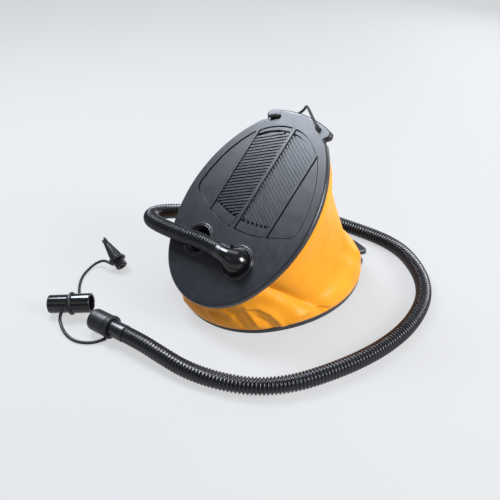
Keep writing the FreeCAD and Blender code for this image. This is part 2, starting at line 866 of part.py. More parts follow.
def elbow_loft(foot_radius, end_radius):
    """A bend from the port's axis to the hose's axis, its section shrinking on the way."""
    start = size("hose_lift") - ELBOW_BEND
    wires = []
    for height in (ELBOW_FOOT, start - 4):
        wires.append(Part.Wire(Part.makeCircle(foot_radius, FreeCAD.Vector(0, 0, height), Z_AXIS)))
    steps = 5
    for step in range(steps + 1):
        turn = math.pi / 2 * step / steps
        radius = foot_radius + (end_radius - foot_radius) * step / steps
        centre = FreeCAD.Vector(-ELBOW_BEND * (1 - math.cos(turn)), 0, start + ELBOW_BEND * math.sin(turn))
        heading = FreeCAD.Vector(-math.sin(turn), 0, math.cos(turn))
        ring = Part.Wire(Part.makeCircle(radius, ORIGIN, Z_AXIS))
        ring.Placement = pointing(centre, heading)
        wires.append(ring)
    return Part.makeLoft(wires, True, False)


def make_elbow():
    """The hose's elbow: a plug in the outlet socket and a spout towards the inlet side."""
    wall = 2.2
    plug = size("bore_radius") - 0.1
    end = size("cuff_radius")
    lift = size("hose_lift")
    outer = elbow_loft(plug, end)
    inner = elbow_loft(plug - wall, SPOUT_RADIUS - wall)
    spout = Part.makeCylinder(SPOUT_RADIUS, SPOUT_LENGTH, FreeCAD.Vector(-ELBOW_BEND, 0, lift), -X_AXIS)
    bore_reach = SPOUT_LENGTH + 4
    bore = Part.makeCylinder(
        SPOUT_RADIUS - wall, bore_reach, FreeCAD.Vector(-ELBOW_BEND + 2, 0, lift), -X_AXIS
    )
    elbow = outer.fuse(spout).cut(inner).cut(bore).removeSplitter()
    place = pedal_local(PORT_SIDE, PORT_PLACE)
    solid_feature("hose_elbow", elbow, PEDAL.multiply(FreeCAD.Placement(place, FreeCAD.Rotation())))


def make_start_cuff():
    """The smooth end of the hose that is pushed over the elbow's spout."""
    place = PEDAL.multVec(pedal_local(PORT_SIDE - ELBOW_BEND, PORT_PLACE, size("hose_lift")))
    bore = SPOUT_RADIUS + 0.1
    outer = size("cuff_radius")
    length = size("cuff_length")
    profile = [(bore, 0), (outer, 0), (outer, length), (bore, length)]
    revolved("hose_start_cuff", profile, pointing(place, -X_AXIS))
    return place - X_AXIS * length


# ---- cords ------------------------------------------------------------------------------------

def rounded_route(label, points):
    """Straight runs joined by tangent arcs, each as large as its two runs allow."""
    edges = []
    at = points[0]
    tightest = None
    for before, corner, after in zip(points, points[1:], points[2:]):
        into = corner - before
        out = after - corner
        shorter = min(into.Length, out.Length)
        turn = into.getAngle(out)
        trim = 0.45 * shorter
        radius = trim / math.tan(turn / 2)
        tightest = radius if tightest is None else min(tightest, radius)
        into.normalize()
        out.normalize()
        start = corner - into * trim
        end = corner + out * trim
        inward = out - into
        inward.normalize()
        centre_reach = radius / math.cos(turn / 2)
        middle = corner + inward * (centre_reach - radius)
        edges.append(Part.LineSegment(at, start).toShape())
        edges.append(Part.Arc(start, middle, end).toShape())
        at = end
    edges.append(Part.LineSegment(at, points[-1]).toShape())
    wire = Part.Wire(edges)
    print("%s: length %.1f, tightest radius %.1f" % (label, wire.Length, tightest))
    return wire


def make_cord(label, points, radius, bore=0.0, placement=None):
    """A round cord or tube along a route. Its volume is compared with its section times its length."""
    wire = rounded_route(label, points)
    start = wire.Edges[0].tangentAt(wire.Edges[0].FirstParameter)
    area = math.pi * (radius ** 2 - bore ** 2)
    rim = Part.Wire(Part.makeCircle(radius, points[0], start))
    cord = wire.makePipe(Part.Face(rim))
    if bore:
        inner_rim = Part.Wire(Part.makeCircle(bore, points[0], start))
        cord = cord.cut(wire.makePipe(Part.Face(inner_rim)))
    expected = area * wire.Length
    if abs(cord.Volume / expected - 1) > 0.01:
        raise ValueError("%s has volume %g, not %g" % (label, cord.Volume, expected))
    return solid_feature(label, cord, placement)


def vectors(points):
    return [FreeCAD.Vector(*p) for p in points]


# From the elbow over the inlet side, round behind the pump, then along the floor to the front.
HOSE_ROUTE = [
    (-10, -139.33, 111.26),
    (-40, -142.8, 108.6),
    (-68, -145.6, 105.6),
    (-92, -147.4, 103.6),
    (-113, -148.0, 102.0),
    (-134, -144.5, 99.6),
    (-148.5, -132, 96.5),
    (-153, -113, 92),
    (-152, -92, 86),
    (-151, -66, 76.5),
    (-153, -38, 64),
    (-158, -6, 48),
    (-163, 28, 32),
    (-164, 62, 19),
    (-158, 96, 12.5),
    (-139, 128, 12),
    (-106, 151, 12),
    (-66, 165, 12),
    (-23, 174, 12),
    (18, 181.5, 12),
    (56, 185, 12),
    (94, 178.5, 12),
    (130, 160, 12),
    (162, 136, 12),
    (189, 104, 12),
    (207, 66, 12),
    (219, 22, 12),
    (222.5, -26, 12),
    (218, -76, 12),
    (207, -124, 12),
    (192, -169, 12),
    (166, -207, 12),
    (128, -234, 12),
    (84, -252, 12.2),
    (42, -260.5, 15.6),
    (8, -266.0, 18.42),
]

HOSE_END = FreeCAD.Vector(-22.0, -271.8, 17.5)
END_DIRECTION = FreeCAD.Vector(-0.981, -0.190, -0.030)


def make_hose(start):
    points = [start] + vectors(HOSE_ROUTE) + [HOSE_END]
    make_cord("hose", points, size("hose_radius"), size("hose_bore_radius"))


def make_hose_end():
    """The smooth end cuff, the cup pushed over it and the tether's ring behind the cup."""
    direction = FreeCAD.Vector(END_DIRECTION)
    direction.normalize()
    length = size("end_cuff_length")
    outer = size("cuff_radius")
    bore = size("hose_bore_radius")
    profile = [(bore, 0), (outer, 0), (outer, length), (bore, length)]
    revolved("hose_end_cuff", profile, pointing(HOSE_END, direction))
    ring_width = 5.0
    ring_place = HOSE_END + direction * (length - ring_width - 0.2)
    ring = size("strap_ring_radius")
    gap = 0.05
    ring_profile = [(outer + gap, 0), (ring, 0), (ring, ring_width), (outer + gap, ring_width)]
    revolved("strap_ring", ring_profile, pointing(ring_place, direction))
    cup = size("cup_radius")
    cup_bore = size("cup_bore_radius")
    deep = size("cup_length")
    web = 3.0
    throat = size("hose_bore_radius")
    cup_profile = [
        (throat, 0),
        (cup - 0.6, 0),
        (cup, 0.6),
        (cup, deep - 0.8),
        (cup - 0.8, deep),
        (cup_bore, deep),
        (cup_bore, web),
        (throat, web),
    ]
    cup_place = HOSE_END + direction * length
    revolved("hose_end_cup", cup_profile, pointing(cup_place, direction))


ADAPTER_START = FreeCAD.Vector(-157.0, -311.06, 13.4)
ADAPTER_DIRECTION = FreeCAD.Vector(0.730, 0.679, 0.097)
ADAPTER_RING_PLACE = 31.0


def make_adapter():
    """A loose adapter tube with a stop bead, and the tether's ring round it."""
    outer = size("adapter_radius")
    bore = size("adapter_bore_radius")
    length = size("adapter_length")
    small = outer - 0.8
    bead = ADAPTER_RING_PLACE - 1.6
    profile = [
        (bore - 0.5, 0),
        (small - 0.8, 0),
        (small, 0.8),
        (small, bead - 1.2),
        (outer, bead),
        (outer, length - 0.8),
        (outer - 0.8, length),
        (bore, length),
    ]
    frame = pointing(ADAPTER_START, ADAPTER_DIRECTION)
    revolved("adapter_tube", profile, frame)
    gap = 0.05
    width = 4.0
    ring = outer + 2.4
    start = ADAPTER_RING_PLACE
    ring_profile = [
        (outer + gap, start),
        (ring - 0.6, start),
        (ring, start + 0.8),
        (ring, start + width - 0.8),
        (ring - 0.6, start + width),
        (outer + gap, start + width),
    ]
    revolved("adapter_ring", ring_profile, frame)


NOZZLE_BASE = FreeCAD.Vector(-177.5, -175.9, 7.9)
NOZZLE_DIRECTION = FreeCAD.Vector(-0.853, -0.009, 0.522)
NOZZLE_FLANGE = 14.0


def make_nozzle():
    """The valve nozzle: a plug, a flange and a hollow cone with a forked tip."""
    base = size("nozzle_base_radius")
    length = size("nozzle_length")
    flange = NOZZLE_FLANGE
    bore = 2.2
    profile = [
        (bore + 3.5, 0),
        (base - 0.6, 0),
        (base, 0.6),
        (base, flange - 2.4),
        (base, flange),
        (base + 3.0, flange),
        (base + 3.0, flange + 3),
        (base - 1.0, flange + 3),
        (base - 1.6, flange + 12),
        (3.6, length),
        (bore, length),
        (bore, 8),
    ]
    cone = revolved("nozzle_cone", profile, FreeCAD.Placement())
    slot = doc.addObject("Part::Box", "nozzle_slot")
    slot.Length = 2 * base
    slot.Width = 1.8
    slot.Height = 14
    slot.Placement.Base = FreeCAD.Vector(-base, -0.9, length - 12)
    nozzle = doc.addObject("Part::Cut", "valve_nozzle")
    nozzle.Label = "valve_nozzle"
    nozzle.Base = cone
    nozzle.Tool = slot
    frame = pointing(NOZZLE_BASE, NOZZLE_DIRECTION)
    nozzle.Placement = frame
    collar_width = 2.2
    collar_radius = base + 4.2
    gap = 0.05
    start = flange - collar_width - gap
    collar = [
        (base + gap, start),
        (collar_radius, start),
        (collar_radius, start + collar_width),
        (base + gap, start + collar_width),
    ]
    revolved("nozzle_collar", collar, frame)


LOWER_STRAP_ROUTE = [
    (-46.6, -288.6, 5.0),
    (-50.5, -300.0, 2.6),
    (-59.5, -313, 2.4),
    (-74, -322, 2.4),
    (-92, -323.5, 2.4),
    (-108, -320.5, 2.4),
    (-120, -316.5, 3.2),
    (-126.6, -313.8, 6.2),
    (-129.3, -308.0, 14.5),
    (-124.3, -302.6, 22.4),
]

UPPER_STRAP_ROUTE = [
    (-143.8, -277.0, 9.8),
    (-151, -270.5, 5.0),
    (-162, -262, 2.4),
    (-177, -253.5, 2.2),
    (-191, -243.5, 2.2),
    (-204, -231, 2.2),
    (-213, -217, 2.2),
    (-218, -201.5, 4.5),
    (-211, -191.5, 9.5),
    (-198.5, -191.5, 15.0),
    (-188.4, -189.2, 14.5),
]

# Across, along and above the pedal plate's top face: from under the left hole, round the tab's
# end in a loose loop and back along the top to the right hole.
ELASTIC_ROUTE = [
    (-37, 125.5, -8.1),
    (-34.5, 129, -12.5),
    (-26, 136.5, -14),
    (-16, 143.5, -11.5),
    (-9, 148.5, -6.5),
    (-4.5, 150.8, -1.0),
    (1.0, 150.2, 3.6),
    (8.5, 146.2, 5.0),
    (16.5, 140.6, 3.8),
    (25, 135, 2.8),
    (33.2, 129.6, 2.6),
]


def make_cord_knots():
    """Knots of the elastic cord, on the top face at both holes."""
    right = Part.makeSphere(3.4)
    right.Placement = FreeCAD.Placement(pedal_local(36.5, 127.2, 3.0), FreeCAD.Rotation())
    solid_feature("right_cord_knot", right, PEDAL.multiply(right.Placement))
    radius = 2.6
    start = pedal_local(-50, 118.0, radius)
    end = pedal_local(-36, 125.0, radius)
    run = end - start
    bar = Part.makeCylinder(radius, run.Length, start, run)
    left = bar.fuse([Part.makeSphere(radius, start), Part.makeSphere(radius, end)]).removeSplitter()
    solid_feature("left_cord_knot", left, PEDAL)


def make_tethers():
    make_cord("lower_tether", vectors(LOWER_STRAP_ROUTE), size("lower_strap_radius"))
    make_cord("upper_tether", vectors(UPPER_STRAP_ROUTE), size("upper_strap_radius"))
    elastic = [pedal_local(*p) for p in ELASTIC_ROUTE]
    make_cord("elastic_cord", elastic, size("elastic_radius"), placement=PEDAL)
    make_cord_knots()


# ---- build ------------------------------------------------------------------------------------

make_base_plate()
make_pedal_plate()
make_hinge_pin()
make_bellows()
make_clamps()
make_return_spring()
make_ports()
make_elbow()
make_hose(make_start_cuff())
make_hose_end()
make_adapter()
make_nozzle()
make_tethers()
doc.recompute()

NODES = [
    "base_plate",
    "lower_clamp_ring",
    "lower_clamp_screws",
    "bellows",
    "return_spring",
    "hinge_pin",
    "hinge_pin_clip",
    "pedal_plate",
    "upper_clamp_ring",
    "upper_clamp_screws",
    "inlet_socket",
    "outlet_socket",
    "inlet_flap",
    "inlet_flap_strip",
    "outlet_flap",
    "outlet_flap_strip",
    "hose_elbow",
    "hose_start_cuff",
    "hose",
    "hose_end_cuff",
    "hose_end_cup",
    "strap_ring",
    "lower_tether",
    "adapter_ring",
    "adapter_tube",
    "upper_tether",
    "nozzle_collar",
    "valve_nozzle",
    "elastic_cord",
    "left_cord_knot",
    "right_cord_knot",
]

for item in doc.Objects:
    if {"Invalid", "Error"} & set(item.State):
        raise RuntimeError("%s failed: %s" % (item.Label, item.State))

os.makedirs("parts", exist_ok=True)
for node in NODES:
    found = doc.getObjectsByLabel(node)[0]
    shape = found.Shape
    if shape.isNull() or not shape.isValid():
        raise RuntimeError("%s has no valid shape" % node)
    shape.exportStep("parts/%s.step" % node)
    box = shape.BoundBox
    print("%-20s %8.1f cm3  x %.1f..%.1f  y %.1f..%.1f  z %.1f..%.1f" % (
        node, shape.Volume / 1000, box.XMin, box.XMax, box.YMin, box.YMax, box.ZMin, box.ZMax))
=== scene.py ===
import json
import math

import bpy
import numpy as np
from mathutils import Matrix, Vector, noise


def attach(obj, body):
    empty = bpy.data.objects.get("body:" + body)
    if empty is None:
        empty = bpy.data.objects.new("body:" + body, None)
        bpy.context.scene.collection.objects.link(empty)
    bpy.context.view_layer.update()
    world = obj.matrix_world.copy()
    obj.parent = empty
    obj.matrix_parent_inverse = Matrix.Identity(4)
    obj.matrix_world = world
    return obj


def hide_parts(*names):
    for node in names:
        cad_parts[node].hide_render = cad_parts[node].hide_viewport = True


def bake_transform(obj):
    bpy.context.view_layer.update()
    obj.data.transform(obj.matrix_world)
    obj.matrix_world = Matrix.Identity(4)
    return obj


# Foot air pump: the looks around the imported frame. Metres, in the frame of the CAD model.
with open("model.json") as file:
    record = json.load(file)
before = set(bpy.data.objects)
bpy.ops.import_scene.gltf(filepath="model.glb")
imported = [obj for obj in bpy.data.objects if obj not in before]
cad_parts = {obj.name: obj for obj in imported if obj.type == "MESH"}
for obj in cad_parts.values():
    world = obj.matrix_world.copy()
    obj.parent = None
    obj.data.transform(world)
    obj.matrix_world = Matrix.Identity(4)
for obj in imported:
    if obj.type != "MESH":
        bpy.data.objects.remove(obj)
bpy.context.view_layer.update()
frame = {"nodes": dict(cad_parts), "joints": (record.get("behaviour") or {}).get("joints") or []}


def joint_named(name):
    """The named joint as the frame lists it."""
    return [joint for joint in frame["joints"] if joint["name"] == name][0]


# ---- the pedal plate's frame ------------------------------------------------------------------

HINGE = Vector(joint_named("pedal_hinge")["pos_m"])
OPEN = -math.radians(joint_named("pedal_hinge")["range_deg"][0])
PLATE = 0.008
CLOSED_HEIGHT = 0.068
PEDAL = (
    Matrix.Translation(HINGE)
    @ Matrix.Rotation(OPEN, 4, "X")
    @ Matrix.Translation(-HINGE)
    @ Matrix.Translation((0, 0, CLOSED_HEIGHT - PLATE))
)

# Routes of the cords, the same as in the CAD model. The elastic cord's is in the
# pedal plate's frame: across, along and above its top face.
HOSE_ROUTE = [
    (0.0175, -0.13933, 0.11126),
    (-0.01, -0.13933, 0.11126),
    (-0.04, -0.1428, 0.1086),
    (-0.068, -0.1456, 0.1056),
    (-0.092, -0.1474, 0.1036),
    (-0.113, -0.148, 0.102),
    (-0.134, -0.1445, 0.0996),
    (-0.1485, -0.132, 0.0965),
    (-0.153, -0.113, 0.092),
    (-0.152, -0.092, 0.086),
    (-0.151, -0.066, 0.0765),
    (-0.153, -0.038, 0.064),
    (-0.158, -0.006, 0.048),
    (-0.163, 0.028, 0.032),
    (-0.164, 0.062, 0.019),
    (-0.158, 0.096, 0.0125),
    (-0.139, 0.128, 0.012),
    (-0.106, 0.151, 0.012),
    (-0.066, 0.165, 0.012),
    (-0.023, 0.174, 0.012),
    (0.018, 0.1815, 0.012),
    (0.056, 0.185, 0.012),
    (0.094, 0.1785, 0.012),
    (0.13, 0.16, 0.012),
    (0.162, 0.136, 0.012),
    (0.189, 0.104, 0.012),
    (0.207, 0.066, 0.012),
    (0.219, 0.022, 0.012),
    (0.2225, -0.026, 0.012),
    (0.218, -0.076, 0.012),
    (0.207, -0.124, 0.012),
    (0.192, -0.169, 0.012),
    (0.166, -0.207, 0.012),
    (0.128, -0.234, 0.012),
    (0.084, -0.252, 0.0122),
    (0.042, -0.2605, 0.0156),
    (0.008, -0.266, 0.01842),
    (-0.022, -0.2718, 0.0175),
]

LOWER_STRAP_ROUTE = [
    (-0.0466, -0.2886, 0.005),
    (-0.0505, -0.3, 0.0026),
    (-0.0595, -0.313, 0.0024),
    (-0.074, -0.322, 0.0024),
    (-0.092, -0.3235, 0.0024),
    (-0.108, -0.3205, 0.0024),
    (-0.12, -0.3165, 0.0032),
    (-0.1266, -0.3138, 0.0062),
    (-0.1293, -0.308, 0.0145),
    (-0.1243, -0.3026, 0.0224),
]

UPPER_STRAP_ROUTE = [
    (-0.1438, -0.277, 0.0098),
    (-0.151, -0.2705, 0.005),
    (-0.162, -0.262, 0.0024),
    (-0.177, -0.2535, 0.0022),
    (-0.191, -0.2435, 0.0022),
    (-0.204, -0.231, 0.0022),
    (-0.213, -0.217, 0.0022),
    (-0.218, -0.2015, 0.0045),
    (-0.211, -0.1915, 0.0095),
    (-0.1985, -0.1915, 0.015),
    (-0.1884, -0.1892, 0.0145),
]

ELASTIC_ROUTE = [
    (-0.037, 0.1255, -0.0081),
    (-0.0345, 0.129, -0.0125),
    (-0.026, 0.1365, -0.014),
    (-0.016, 0.1435, -0.0115),
    (-0.009, 0.1485, -0.0065),
    (-0.0045, 0.1508, -0.001),
    (0.001, 0.1502, 0.0036),
    (0.0085, 0.1462, 0.005),
    (0.0165, 0.1406, 0.0038),
    (0.025, 0.135, 0.0028),
    (0.0332, 0.1296, 0.0026),
]

PORT_SIDE = 0.0415
PORT_PLACE = -0.084
HOSE_RADIUS = 0.0115
HOSE_BORE = 0.0096
CUFF_RADIUS = 0.0119
HOSE_LIFT = 0.017
ELBOW_BEND = 0.012
END_DIRECTION = Vector((-0.981, -0.190, -0.030)).normalized()
ADAPTER_START = Vector((-0.1570, -0.31106, 0.0134))
ADAPTER_DIRECTION = Vector((0.730, 0.679, 0.097)).normalized()
NOZZLE_BASE = Vector((-0.1775, -0.1759, 0.0079))
NOZZLE_DIRECTION = Vector((-0.853, -0.009, 0.522)).normalized()


# ---- camera, floor and light ------------------------------------------------------------------

def make_camera():
    """Front right of the pump, looking down on the pedal plate."""
    azimuth = math.radians(47.755)
    elevation = math.radians(31.942)
    data = bpy.data.cameras.new("camera")
    data.lens = 50.07
    data.sensor_width = 36
    camera = bpy.data.objects.new("camera", data)
    bpy.context.scene.collection.objects.link(camera)
    back = Vector((
        math.sin(azimuth) * math.cos(elevation),
        -math.cos(azimuth) * math.cos(elevation),
        math.sin(elevation),
    ))
    camera.location = (0.62893, -0.63877, 0.60454)
    camera.rotation_euler = (-back).to_track_quat("-Z", "Y").to_euler()
    bpy.context.scene.camera = camera


def area_light(name, place, target, size, power, colour=(1, 1, 1)):
    """A lamp of the given width, height and power, turned from its place towards a target."""
    data = bpy.data.lights.new(name, "AREA")
    data.shape = "RECTANGLE"
    data.size = size[0]
    data.size_y = size[1]
    data.energy = power
    data.color = colour
    light = bpy.data.objects.new(name, data)
    bpy.context.scene.collection.objects.link(light)
    light.location = place
    light.rotation_euler = (Vector(target) - Vector(place)).to_track_quat("-Z", "Y").to_euler()


def make_light():
    """A bright studio: light from the right and from the back left, and a lit backdrop."""
    world = bpy.data.worlds.new("studio")
    world.use_nodes = True
    sky = world.node_tree.nodes["Background"]
    sky.inputs["Color"].default_value = (0.92, 0.95, 1.0, 1)
    sky.inputs["Strength"].default_value = 0.20
    bpy.context.scene.world = world
    bpy.context.scene.view_settings.view_transform = "Standard"
    area_light("overhead", (-0.3, 0.5, 1.9), (0, 0, 0.05), (1.2, 1.2), 12)
    area_light("back_left", (-1.05, -0.18, 1.50), (0, 0, 0.15), (0.7, 0.7), 52, (0.82, 0.89, 1.0))
    area_light("backdrop", (-0.25, 1.70, 0.60), (0, 0, 0.1), (1.3, 0.7), 16)
    area_light("right_key", (1.5, 0.55, 0.95), (0, -0.02, 0.1), (0.7, 0.7), 50)
    area_light("front_fill", (0.1, -1.6, 1.0), (0, -0.1, 0.05), (0.9, 0.5), 1.0)


def make_floor():
    """A pale, faintly glowing studio floor, wide enough to fill the view."""
    half = 8.0
    mesh = bpy.data.meshes.new("floor")
    corners = [(-half, -half, 0), (half, -half, 0), (half, half, 0), (-half, half, 0)]
    mesh.from_pydata(corners, [], [(0, 1, 2, 3)])
    floor = bpy.data.objects.new("floor", mesh)
    bpy.context.scene.collection.objects.link(floor)
    paint, shader = new_material("studio_floor", (0.10, 0.102, 0.104), 0.7)
    shader.inputs["Specular IOR Level"].default_value = 0.1
    shader.inputs["Emission Color"].default_value = (0.965, 0.98, 1.0, 1)
    shader.inputs["Emission Strength"].default_value = 0.60
    mesh.materials.append(paint)


# ---- materials --------------------------------------------------------------------------------

def new_material(name, colour, roughness):
    """A plain surface to build on, and its shader."""
    made = bpy.data.materials.new(name)
    made.use_nodes = True
    shader = made.node_tree.nodes["Principled BSDF"]
    shader.inputs["Base Color"].default_value = (*colour, 1)
    shader.inputs["Roughness"].default_value = roughness
    return made, shader


def noise_node(tree, scale, detail=3.0, roughness=0.5, stretch=None):
    """Noise in the object's own coordinates. Scale is in waves per metre."""
    place = tree.nodes.new("ShaderNodeTexCoord").outputs["Object"]
    if stretch is not None:
        mapping = tree.nodes.new("ShaderNodeMapping")
        mapping.inputs["Scale"].default_value = stretch
        tree.links.new(place, mapping.inputs["Vector"])
        place = mapping.outputs["Vector"]
    made = tree.nodes.new("ShaderNodeTexNoise")
    made.inputs["Scale"].default_value = scale
    made.inputs["Detail"].default_value = detail
    made.inputs["Roughness"].default_value = roughness
    tree.links.new(place, made.inputs["Vector"])
    return made.outputs["Fac"]


def ramp(tree, value, low, high, at=(0.35, 0.65)):
    """Two colours mixed by a value."""
    made = tree.nodes.new("ShaderNodeValToRGB")
    made.color_ramp.elements[0].position = at[0]
    made.color_ramp.elements[0].color = (*low, 1)
    made.color_ramp.elements[1].position = at[1]
    made.color_ramp.elements[1].color = (*high, 1)
    tree.links.new(value, made.inputs["Fac"])
    return made.outputs["Color"]


def map_value(tree, value, low, high):
    """The middle of a noise value's range, spread from low to high."""
    made = tree.nodes.new("ShaderNodeMapRange")
    made.inputs["From Min"].default_value = 0.3
    made.inputs["From Max"].default_value = 0.7
    made.inputs["To Min"].default_value = low
    made.inputs["To Max"].default_value = high
    tree.links.new(value, made.inputs["Value"])
    return made.outputs["Result"]


def bump(tree, height, strength, distance, below=None):
    """Surface relief from a height value, on top of any relief below it."""
    made = tree.nodes.new("ShaderNodeBump")
    made.inputs["Strength"].default_value = strength
    made.inputs["Distance"].default_value = distance
    tree.links.new(height, made.inputs["Height"])
    if below is not None:
        tree.links.new(below, made.inputs["Normal"])
    return made.outputs["Normal"]


def moulded(name, dark, light, roughness, grain, grain_depth, mirror):
    """Moulded plastic or rubber: two close shades, a fine grain and uneven gloss."""
    patch = 28.0
    made, shader = new_material(name, dark, roughness[0])
    shader.inputs["Specular IOR Level"].default_value = mirror
    tree = made.node_tree
    patches = noise_node(tree, patch, 4.0, 0.55)
    tree.links.new(ramp(tree, patches, dark, light), shader.inputs["Base Color"])
    tree.links.new(map_value(tree, noise_node(tree, patch * 3, 3.0), *roughness), shader.inputs["Roughness"])
    fine = bump(tree, noise_node(tree, grain, 2.0, 0.6), 0.5, grain_depth)
    soft = bump(tree, noise_node(tree, patch, 2.0), 0.25, 0.0006, fine)
    tree.links.new(soft, shader.inputs["Normal"])
    return made


def make_coated_fabric():
    """Orange coated fabric: a fine weave under a satin coat."""
    made, shader = new_material("coated_fabric", (0.90, 0.37, 0.025), 0.45)
    tree = made.node_tree
    shade = ramp(tree, noise_node(tree, 14.0, 3.0), (0.62, 0.228, 0.005), (0.70, 0.268, 0.008))
    tree.links.new(shade, shader.inputs["Base Color"])
    uv = tree.nodes.new("ShaderNodeUVMap")
    uv.uv_map = "cloth"
    threads = []
    for direction in ("X", "Y"):
        wave = tree.nodes.new("ShaderNodeTexWave")
        wave.bands_direction = direction
        wave.inputs["Scale"].default_value = 330.0
        wave.inputs["Distortion"].default_value = 0.4
        tree.links.new(uv.outputs["UV"], wave.inputs["Vector"])
        threads.append(wave.outputs["Fac"])
    weave = tree.nodes.new("ShaderNodeMath")
    weave.operation = "MAXIMUM"
    tree.links.new(threads[0], weave.inputs[0])
    tree.links.new(threads[1], weave.inputs[1])
    cloth = bump(tree, weave.outputs[0], 0.22, 0.00008)
    soft = bump(tree, noise_node(tree, 60.0, 3.0), 0.25, 0.0007, cloth)
    tree.links.new(soft, shader.inputs["Normal"])
    tree.links.new(map_value(tree, noise_node(tree, 40.0, 3.0), 0.40, 0.52), shader.inputs["Roughness"])
    shader.inputs["Specular IOR Level"].default_value = 0.25
    return made


def make_steel():
    """Zinc-plated steel with uneven shade and gloss."""
    made, shader = new_material("zinc_steel", (0.55, 0.56, 0.58), 0.3)
    tree = made.node_tree
    shader.inputs["Metallic"].default_value = 1.0
    tree.links.new(map_value(tree, noise_node(tree, 300.0), 0.26, 0.42), shader.inputs["Roughness"])
    shade = ramp(tree, noise_node(tree, 90.0), (0.42, 0.43, 0.45), (0.6, 0.61, 0.63))
    tree.links.new(shade, shader.inputs["Base Color"])
    return made


def make_braid():
    """Black braided elastic: a fine diagonal plait."""
    made, shader = new_material("braided_elastic", (0.012, 0.012, 0.014), 0.7)
    tree = made.node_tree
    plait = bump(tree, noise_node(tree, 1500.0, 1.0), 0.8, 0.0004)
    tree.links.new(plait, shader.inputs["Normal"])
    shade = ramp(tree, noise_node(tree, 900.0), (0.008, 0.008, 0.01), (0.03, 0.03, 0.034))
    tree.links.new(shade, shader.inputs["Base Color"])
    return made


# Each moulded finish gives its darker and lighter shade, the range of its roughness, its grain's
# fineness and depth, and how strongly the surface mirrors.
PAINT = {
    "plate": moulded(
        "plate_plastic", (0.009, 0.010, 0.014), (0.013, 0.0145, 0.020), (0.30, 0.38), 2600.0, 0.00012, 0.55
    ),
    "fabric": make_coated_fabric(),
    "gloss": moulded(
        "gloss_black", (0.004, 0.004, 0.005), (0.007, 0.007, 0.009), (0.10, 0.18), 1500.0, 0.00002, 0.45
    ),
    "collar": moulded(
        "collar_black", (0.006, 0.006, 0.009), (0.010, 0.010, 0.014), (0.28, 0.36), 1800.0, 0.00004, 0.55
    ),
    "satin": moulded(
        "satin_black", (0.008, 0.008, 0.010), (0.015, 0.016, 0.018), (0.36, 0.48), 2200.0, 0.00003, 0.35
    ),
    "hose": moulded(
        "hose_rubber", (0.004, 0.005, 0.008), (0.008, 0.009, 0.013), (0.25, 0.33), 900.0, 0.00001, 0.5
    ),
    "strap": moulded(
        "strap_rubber", (0.006, 0.007, 0.009), (0.014, 0.014, 0.017), (0.36, 0.48), 1600.0, 0.00003, 0.35
    ),
    "flap": moulded(
        "flap_rubber", (0.010, 0.010, 0.011), (0.016, 0.016, 0.018), (0.5, 0.65), 1200.0, 0.00008, 0.3
    ),
    "clamp": moulded(
        "clamp_plastic", (0.012, 0.013, 0.015), (0.020, 0.021, 0.024), (0.4, 0.55), 1600.0, 0.00006, 0.3
    ),
    "steel": make_steel(),
    "braid": make_braid(),
}


# ---- mesh helpers -----------------------------------------------------------------------------

def add_piece(name, vertices, faces, paint, sharp=38.0):
    """A mesh object from points and faces, smooth but for edges sharper than the given angle."""
    mesh = bpy.data.meshes.new(name + "_look")
    mesh.from_pydata([tuple(v) for v in vertices], [], [tuple(f) for f in faces])
    mesh.validate()
    mesh.update()
    mesh.polygons.foreach_set("use_smooth", [True] * len(mesh.polygons))
    mesh.set_sharp_from_angle(angle=math.radians(sharp))
    mesh.materials.append(PAINT[paint])
    piece = bpy.data.objects.new(name + "_look", mesh)
    bpy.context.scene.collection.objects.link(piece)
    return piece


def joined(name, parts, paint, sharp=38.0):
    """One piece of several closed shells, each given as (vertices, faces)."""
    vertices = []
    faces = []
    for part_vertices, part_faces in parts:
        start = len(vertices)
        vertices += [tuple(v) for v in part_vertices]
        faces += [tuple(i + start for i in f) for f in part_faces]
    return add_piece(name, vertices, faces, paint, sharp)


def place_along(origin, direction):
    """A frame at origin with its Z axis along direction."""
    turned = Vector(direction).to_track_quat("Z", "Y").to_matrix().to_4x4()
    return Matrix.Translation(origin) @ turned


def softened(profile, reach, steps=3):
    """The closed profile with each corner rounded, starting up to reach before it."""
    made = []
    count = len(profile)
    for i, corner in enumerate(profile):
        before = Vector(profile[i - 1])
        corner = Vector(corner)
        after = Vector(profile[(i + 1) % count])
        into = before - corner
        out = after - corner
        cut = min(reach, 0.45 * into.length, 0.45 * out.length)
        start = corner + into.normalized() * cut
        end = corner + out.normalized() * cut
        for step in range(steps + 1):
            t = step / steps
            made.append(tuple(start * (1 - t) ** 2 + corner * 2 * t * (1 - t) + end * t ** 2))
    return made


def turned(profile, place, sides=72, reach=0.0004):
    """A closed ring-shaped solid from a profile of (radius, height) points."""
    profile = softened(profile, reach)
    vertices = []
    faces = []
    count = len(profile)
    for side in range(sides):
        angle = 2 * math.pi * side / sides
        for radius, height in profile:
            point = Vector((radius * math.cos(angle), radius * math.sin(angle), height))
            vertices.append(place @ point)
        for i in range(count):
            a = side * count + i
            b = side * count + (i + 1) % count
            c = (side + 1) % sides * count + (i + 1) % count
            d = (side + 1) % sides * count + i
            faces.append((a, d, c, b))
    return vertices, faces


def spline_line(name, points):
    """The points along a smooth curve that has the route's points as its control points."""
    curve = bpy.data.curves.new(name + "_route", "CURVE")
    curve.dimensions = "3D"
    spline = curve.splines.new("NURBS")
    spline.points.add(len(points) - 1)
    for target, point in zip(spline.points, points):
        target.co = (*point, 1)
    spline.order_u = 3
    spline.use_endpoint_u = True
    spline.resolution_u = 24
    holder = bpy.data.objects.new(name + "_route", curve)
    mesh = bpy.data.meshes.new_from_object(holder)
    line = np.array([v.co for v in mesh.vertices], float)
    bpy.data.objects.remove(holder)
    bpy.data.curves.remove(curve)
    bpy.data.meshes.remove(mesh)
    return line


